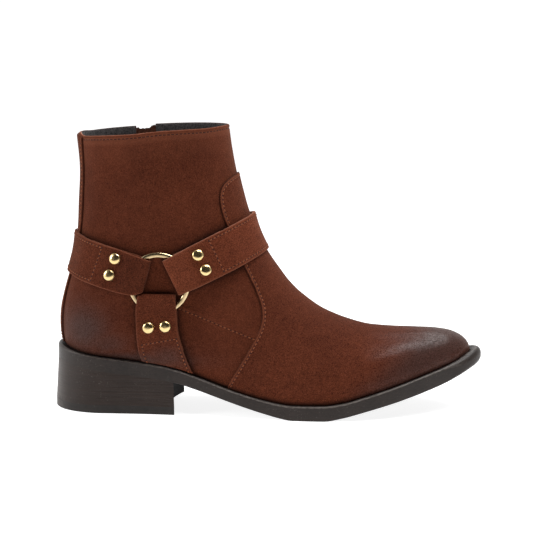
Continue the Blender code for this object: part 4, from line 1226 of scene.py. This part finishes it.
def build_teeth(m):
    corner = ((-1, -1), (0, -1), (1, -1), (1, 0), (1, 1), (0, 1), (-1, 1), (-1, 0))
    levels = ((-0.5, 0.55, 1.65), (0.55, 0.55, 1.65), (0.95, 0.36, 1.4))  # height, half length, half width
    count = int(ZIP_LENGTH / ZIP["tooth"])
    sheets = Sheets()
    for k in range(2, count):
        side = 0.75 if k % 2 else -0.75
        point, out = zip_surface(np.array([k / count, (k + 0.4) / count]), np.array([side, side]))
        up, way = out[0], unit(point[1] - point[0])
        across = np.cross(up, way)
        tooth = []
        for h, long, wide in levels:
            centre = point[0] + up * h
            tooth.append([centre + way * a * long * 0.85 + across * b * wide * 0.95 for a, b in corner])
        top = np.array(tooth[-1])
        sheets.add(tooth, around=True)
        sheets.add(np.stack([top[[0, 1, 2]], top[[7, 3, 3]], top[[6, 5, 4]]]))
    place_piece("zip_teeth", sheets, [m["zip_metal"]], ["zip_chain"])


def build_slider(m):
    """The slider on the chain and the pull on its pin, both in the frame of the recorded hinge."""
    point, face_out = zip_surface(np.array([SLIDER_AT, SLIDER_AT + 0.01]), np.zeros(2))
    down = point[1] - point[0]
    for across in (face_out[0], HINGE_AXIS):
        down = unit(down - across * (down @ across))
    out = np.cross(down, HINGE_AXIS)
    on_chain = placing(HINGE_AT - out * SLIDER["pin_height"], down, HINGE_AXIS, out)
    on_pin = placing(HINGE_AT, down, HINGE_AXIS, out)
    across_pin = Matrix.Rotation(pi / 2, 4, "X")

    s, p = SLIDER, PULL
    long, wide, half = s["long"] / 2, s["wide"] / 2, p["wide"] / 2
    body = plate_outline(((-long, wide * 0.62), (-long * 0.6, wide), (0.0, wide * 0.94), (long, wide * 0.6)))
    shape = rounded_plate(body, s["low"], s["low"] + s["thick"], 0.5)
    lug = [(1.7 * cos(a), 1.7 * sin(a)) for a in np.linspace(0, 2 * pi, 20, endpoint=False)]
    for sign in (-1, 1):
        place = Matrix.Translation((0, sign * (half + 0.9), s["pin_height"] - 0.4))
        stretch = Matrix.Diagonal((1.0, 1.25, 1.0, 1.0))
        merge(shape, rounded_plate(lug, -0.5, 0.5, 0.25), place @ across_pin @ stretch)
    pin = {"radius1": s["pin"], "radius2": s["pin"], "depth": p["wide"] + 2.4}
    place = Matrix.Translation((0, 0, s["pin_height"])) @ across_pin
    bmesh.ops.create_cone(shape, cap_ends=True, segments=20, matrix=place, **pin)
    data = local_mesh("zip slider body", shape, on_chain)
    place_piece("zip_slider_body", data, [m["zip_metal"]], ["zip_slider"])

    end = p["long"]
    stations = ((1.4, 0.72), (4.0, 0.78), (end - 6.0, 1.0), (end - 2.0, 0.9), (end, 0.35))
    tab = plate_outline([(x, half * share) for x, share in stations], 22)
    shape = rounded_plate(tab, -p["thick"] / 2, p["thick"] / 2, 0.4)
    eye = lathe([(1.42 + 0.36 * cos(a), 0.36 * sin(a) * 6.0) for a in np.linspace(0, 2 * pi, 17)], 32)
    merge(shape, eye, across_pin)
    data = local_mesh("zip pull tab", shape, on_pin)
    place_piece("zip_pull_tab", data, [m["zip_metal"]], ["zip_pull"], body="zip_pull")


def build_zip(m, thread):
    build_tape(m)
    build_teeth(m)
    build_slider(m)
    edge = ZIP["slot"] + ZIP["row"]
    rows = [(np.linspace(0.03, 1.0, 120), np.full(120, side * edge)) for side in (-1, 1)]
    rows.append((np.full(30, 1.0 + ZIP["row"] / ZIP_LENGTH), np.linspace(-edge, edge, 30)))
    for t, w in rows:
        base, out = zip_surface(t, w)
        thread.row(base + out * (relief(base) - 0.02)[:, None], out)


# Materials


class Graph:
    """The nodes of a material or world round its shader."""

    def __init__(self, owner, shader="Principled BSDF", place="Object"):
        owner.use_nodes = True
        self.owner, self.tree = owner, owner.node_tree
        self.shader = self.tree.nodes[shader]
        self.place = self.node("ShaderNodeTexCoord").outputs[place]

    def node(self, kind, inputs=None, **settings):
        made = self.tree.nodes.new(kind)
        for key, value in settings.items():
            setattr(made, key, value)
        for key, value in (inputs or {}).items():
            self.put(made.inputs[key], value)
        return made

    def put(self, socket, value):
        if isinstance(value, bpy.types.NodeSocket):
            self.tree.links.new(value, socket)
        else:
            socket.default_value = value

    def set(self, **inputs):
        for key, value in inputs.items():
            self.put(self.shader.inputs[key.replace("_", " ")], value)

    def noise(self, scale, detail=2.0, rough=0.55, stretch=None):
        place = self.place
        if stretch:
            place = self.node("ShaderNodeMapping", {"Vector": place, "Scale": stretch}).outputs["Vector"]
        inputs = {"Vector": place, "Scale": scale, "Detail": detail, "Roughness": rough}
        return self.node("ShaderNodeTexNoise", inputs).outputs["Fac"]

    def wave(self, scale, way="X", **inputs):
        inputs = {key.replace("_", " "): value for key, value in inputs.items()}
        inputs.update({"Vector": self.place, "Scale": scale})
        return self.node("ShaderNodeTexWave", inputs, bands_direction=way).outputs["Fac"]

    def math(self, operation, a, b):
        return self.node("ShaderNodeMath", {0: a, 1: b}, operation=operation).outputs[0]

    def times(self, a, b):
        return self.math("MULTIPLY", a, b)

    def blend(self, a, b, share):
        """a at a share and b at the rest."""
        return self.math("ADD", self.times(a, share), self.times(b, 1.0 - share))

    def sway(self, value, by, size):
        """A value moved up and down by a noise."""
        return self.math("ADD", value, self.times(self.math("SUBTRACT", by, 0.5), size))

    def span(self, value, low, high, to_low=0.0, to_high=1.0):
        inputs = {"Value": value, "From Min": low, "From Max": high, "To Min": to_low, "To Max": to_high}
        return self.node("ShaderNodeMapRange", inputs, clamp=True).outputs["Result"]

    def mix(self, share, a, b, blend="MIX"):
        made = self.node("ShaderNodeMix", data_type="RGBA", blend_type=blend)
        for index, value in ((0, share), (6, a), (7, b)):
            self.put(made.inputs[index], value)
        return made.outputs[2]

    def attribute(self, name):
        return self.node("ShaderNodeAttribute", attribute_name=name).outputs["Fac"]

    def bump(self, height, strength, distance):
        inputs = {"Height": height, "Strength": strength, "Distance": distance}
        self.set(Normal=self.node("ShaderNodeBump", inputs).outputs["Normal"])


def new_graph(name):
    return Graph(bpy.data.materials.new(name))


def colour(r, g, b, gain=1.0):
    return (r * gain, g * gain, b * gain, 1.0)


def suede_material(name, gain, grain):
    """Nap with cloudy tone and fine specks, worn by burnish, shining by polish; edge marks pale its cut
    edges, paint highlights and, below zero, paint shade.
    """
    g = new_graph(name)
    cloud, patch = g.noise(28.0, 4.0, 0.62), g.noise(210.0, 3.0, 0.6)
    nap, fine = g.noise(1300.0, 3.0, 0.8), g.noise(2700.0, 2.0, 0.7)
    tone = g.span(g.blend(cloud, patch, 0.62), 0.34, 0.66)
    base = g.mix(tone, colour(0.066, 0.0158, 0.0070, gain), colour(0.100, 0.0250, 0.0109, gain))
    speck = g.blend(nap, fine, 0.65)
    shade = g.span(speck, 0.37, 0.63, 1.0 - grain, 1.0 + grain)
    grey = g.node("ShaderNodeCombineColor", {0: shade, 1: shade, 2: shade}).outputs[0]
    base = g.mix(1.0, base, grey, "MULTIPLY")
    # Edge marks from 0 to 2 pale the nap at raw cut edges and paint highlights; below 0 they paint shade.
    mark = g.attribute("edge")
    base = g.mix(g.span(mark, 0.0, 1.0, 0.0, 0.85), base, colour(0.20, 0.064, 0.034))
    base = g.mix(g.span(mark, 1.0, 2.0, 0.0, 0.9), base, colour(0.36, 0.21, 0.155))
    # Painted shade, near black, where the edge mark is below 0.
    base = g.mix(g.span(mark, -0.75, 0.0, 0.85, 0.0), base, colour(0.012, 0.0040, 0.0025))
    wear = g.sway(g.sway(g.attribute("burnish"), speck, 1.9), patch, 0.35)
    wear = g.times(g.span(wear, 0.1, 0.9), 0.92)
    dark = g.mix(g.span(speck, 0.36, 0.64), colour(0.016, 0.0066, 0.0049), colour(0.071, 0.0315, 0.0240))
    shine = g.attribute("polish")
    gloss = g.times(shine, g.span(speck, 0.44, 0.57, 0.05, 1.1))
    g.set(Base_Color=g.mix(wear, base, dark), Roughness=g.span(wear, 0.0, 0.9, 0.95, 0.6))
    g.set(Specular_IOR_Level=0.08, Coat_Weight=gloss, Coat_Roughness=0.23)
    g.set(Sheen_Weight=0.07, Sheen_Roughness=0.4, Sheen_Tint=colour(1.0, 0.55, 0.38))
    g.bump(g.blend(nap, fine, 0.6), g.span(shine, 0.0, 0.9, 0.5, 0.7), 0.0006)
    return g.owner


def sole_material(name, dark, light, rough, scuff, stretch=None, gloss=0.27, height=0.2):
    """Leather or rubber with a grain and scuffs; edge marks rubbed paleness and painted highlights."""
    g = new_graph(name)
    grain, broad = g.noise(420.0, 4.0, 0.65, stretch), g.noise(60.0, 3.0, 0.6)
    specks = g.noise(900.0, 1.0, 0.4)
    tone = g.mix(g.span(g.blend(grain, broad, 0.6), 0.35, 0.65), colour(*dark), colour(*light))
    worn = g.times(g.span(specks, 0.66, 0.74), g.span(broad, 0.46, 0.62))
    tone = g.mix(g.times(worn, scuff), tone, colour(0.11, 0.095, 0.085))
    # Edge marks: rubbed pale welt edge plus painted highlight; painted highlights on the heel's back.
    rubbed_and_highlight = g.times(g.attribute("edge"), g.span(grain, 0.32, 0.6, 0.2, 0.9))
    tone = g.mix(rubbed_and_highlight, tone, colour(0.130, 0.112, 0.101))
    g.set(Base_Color=tone, Roughness=g.span(grain, 0.3, 0.7, rough - 0.07, rough + 0.1))
    g.set(Specular_IOR_Level=gloss)
    g.bump(g.blend(grain, broad, 0.7), height, 0.0005)
    return g.owner


def tread_material():
    g = new_graph("tread rubber")
    grain = g.noise(700.0, 3.0, 0.6)
    ribs = g.span(g.wave(70.0, Distortion=0.0), 0.35, 0.65)
    g.set(Base_Color=g.mix(grain, colour(0.010, 0.009, 0.009), colour(0.028, 0.025, 0.024)))
    g.set(Roughness=g.span(grain, 0.3, 0.7, 0.55, 0.8))
    g.bump(g.math("ADD", ribs, g.times(grain, 0.2)), 0.5, 0.0006)
    return g.owner


def brass_material(name, base, rough):
    """Brass; the edge attribute marks a painted dark band that stands for a dark reflection."""
    g = new_graph(name)
    stain = g.noise(240.0, 3.0, 0.6)
    tone = g.mix(g.span(stain, 0.35, 0.7), colour(*base), colour(*base, 0.86))
    # A painted dark reflection where the edge mark is set.
    painted_dark_band = g.times(g.attribute("edge"), g.span(stain, 0.3, 0.6, 0.75, 1.0))
    g.set(Base_Color=g.mix(painted_dark_band, tone, colour(0.20, 0.145, 0.075)))
    g.set(Metallic=1.0, Roughness=g.span(stain, 0.3, 0.7, rough, rough + 0.07))
    g.bump(g.noise(1500.0), 0.03, 0.0002)
    return g.owner


def cloth_material(name, dark, light, scale):
    """Cloth with a plain weave and a fuzz."""
    g = new_graph(name)
    weave = g.times(*[g.wave(scale, way, Distortion=1.2, Detail=1.0, Detail_Scale=4.0) for way in ("X", "Z")])
    tone = g.blend(weave, g.noise(900.0, 3.0, 0.7), 0.25)
    g.set(Base_Color=g.mix(g.span(tone, 0.3, 0.6), colour(*dark), colour(*light)), Roughness=0.9)
    g.set(Specular_IOR_Level=0.1, Sheen_Weight=0.05, Sheen_Roughness=0.5)
    g.bump(tone, 0.4, 0.0004)
    return g.owner


def thread_material():
    g = new_graph("sewing thread")
    twist = g.wave(900.0, Distortion=2.0)
    tone = g.span(g.blend(twist, g.noise(120.0), 0.4), 0.25, 0.75)
    g.set(Base_Color=g.mix(tone, colour(0.15, 0.040, 0.016), colour(0.30, 0.090, 0.036)))
    g.set(Roughness=0.8, Specular_IOR_Level=0.2)
    g.bump(twist, 0.3, 0.0002)
    return g.owner


def hole_shade_material():
    g = new_graph("needle hole shade")
    # The holes are flat dark discs: painted shade for the holes' depth.
    tone = g.mix(g.noise(400.0), colour(0.014, 0.0045, 0.003), colour(0.034, 0.010, 0.006))
    g.set(Base_Color=tone, Roughness=1.0)
    return g.owner


def make_materials():
    welt = ((0.0125, 0.0080, 0.0062), (0.0285, 0.0195, 0.0160))
    heel = ((0.0170, 0.0096, 0.0070), (0.0295, 0.0180, 0.0138))
    lift = ((0.015, 0.0117, 0.0103), (0.026, 0.0208, 0.0186))
    # The breast is painted much darker than the heel: painted shade under the arch.
    breast = ((0.005, 0.0042, 0.0040), (0.010, 0.0085, 0.0080))
    layers = (0.12, 0.12, 2.4)  # the heel's grain runs in flat layers
    return {
        "suede": suede_material("suede nap", 1.0, 0.6),
        "vamp": suede_material("vamp nap", 1.02, 0.8),
        "strap_back": suede_material("back strap nap", 1.0, 0.8),
        # The front strap's nap is 1.36 times brighter: painted light where it faces the lamps.
        "strap_front": suede_material("brightened front strap nap", 1.36, 0.8),
        "strap_side": suede_material("side strap nap", 1.05, 0.8),
        "lining": cloth_material("lining cloth", (0.012, 0.0114, 0.0114), (0.090, 0.0810, 0.0810), 420.0),
        "tape": cloth_material("zip tape", (0.040, 0.014, 0.008), (0.130, 0.045, 0.026), 520.0),
        "sole": sole_material("welt leather", *welt, 0.42, 0.35, (1.0, 1.0, 2.5)),
        "heel": sole_material("heel stack", *heel, 0.44, 0.35, layers, height=0.9),
        "top_lift": sole_material("top piece", *lift, 0.5, 0.25),
        "breast": sole_material("shaded heel breast", *breast, 0.62, 0.1, gloss=0.03),
        "tread": tread_material(),
        "brass": brass_material("polished brass", (0.81, 0.60, 0.29), 0.19),
        "ring": brass_material("ring brass", (0.68, 0.52, 0.30), 0.2),
        "zip_metal": brass_material("zip brass", (0.70, 0.52, 0.26), 0.24),
        "thread": thread_material(),
        "holes": hole_shade_material(),
    }


# Studio


def look_along(made, way):
    made.rotation_euler = Vector(way).to_track_quat("-Z", "Y").to_euler()


def area_light(name, place, size, power, target=(0.0, 0.0, 0.08)):
    """A rectangle of light that faces a target."""
    data = bpy.data.lights.new(name, "AREA")
    data.shape = "RECTANGLE"
    data.size, data.size_y = size
    data.energy = power
    made = add_object(name, data)
    made.location = place
    look_along(made, Vector(target) - Vector(place))


def build_world():
    """Bright behind the boot and dark on the camera's side, so that the metal has something to mirror."""
    world = bpy.data.worlds.new("studio")
    bpy.context.scene.world = world
    g = Graph(world, "Background", "Generated")
    camera_side = {0: g.place, 1: (0.0, -0.9, 0.43)}
    toward = g.node("ShaderNodeVectorMath", camera_side, operation="DOT_PRODUCT").outputs["Value"]
    ramp = g.node("ShaderNodeValToRGB", {"Fac": g.span(toward, -1.0, 1.0)})
    stops = ((0.0, 1.1), (0.30, 1.0), (0.52, 0.37), (0.72, 0.29), (0.86, 0.02))
    elements = ramp.color_ramp.elements
    while len(elements) < len(stops):
        elements.new(0.5)
    for element, (at, level) in zip(elements, stops):
        element.position = at
        element.color = colour(level, level, level)
    g.set(Color=ramp.outputs["Color"], Strength=1.0)


def build_floor():
    """A pale floor that glows a little, less so in front, so that it stays white round the boot."""
    bpy.ops.mesh.primitive_plane_add(size=80.0)
    floor = bpy.context.object
    floor.name = "floor"
    g = new_graph("pale floor")
    away = g.node("ShaderNodeSeparateXYZ", {0: g.place}).outputs["Y"]
    front, near = -1.0, -0.32
    g.set(Base_Color=g.mix(g.span(away, front, near), colour(0.40, 0.40, 0.40), colour(0.50, 0.50, 0.50)))
    g.set(Emission_Color=colour(1.0, 1.0, 1.0), Emission_Strength=g.span(away, front, near, 0.48, 0.86))
    g.set(Roughness=0.9, Specular_IOR_Level=0.0)
    floor.data.materials.append(g.owner)


def build_camera():
    c = CAMERA
    a, e = radians(c["azimuth"]), radians(c["elevation"])
    back = Vector((sin(a) * cos(e), -cos(a) * cos(e), sin(e)))
    data = bpy.data.cameras.new("camera")
    data.lens = c["lens"]
    data.sensor_width = 36.0
    data.clip_start = 0.05
    made = add_object("camera", data)
    made.location = (Vector(c["target"]) - Vector(ORIGIN)) * MM + back * c["distance"]
    look_along(made, -back)
    scene = bpy.context.scene
    scene.camera = made
    scene.view_settings.view_transform = "Standard"
    scene.view_settings.look = "None"


def main():
    for old in list(bpy.data.objects):
        bpy.data.objects.remove(old)
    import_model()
    m = make_materials()
    thread, collar = Thread(), Thread()
    collar.row(*build_upper(m), pitch=2.6, radius=0.3, hole=0.82, sunk=0.34)
    for path, out in build_vamp(m) + build_backstay(m):
        thread.row(path, out)
    build_quarter_seam(m, thread)
    build_harness(m, thread)
    build_zip(m, thread)
    build_sole(m)
    thread.pieces("stitching", m["thread"], m["holes"])
    collar.pieces("collar_stitching", m["thread"], m["holes"])
    build_world()
    area_light("left", (-1.3, -0.4, 0.6), (0.4, 0.8), 9.5)
    area_light("right", (0.57, 0.34, 1.26), (1.75, 0.45), 12.5)
    area_light("top", (0.3, -0.2, 1.38), (0.9, 0.6), 13.5)
    build_floor()
    build_camera()
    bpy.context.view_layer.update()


main()
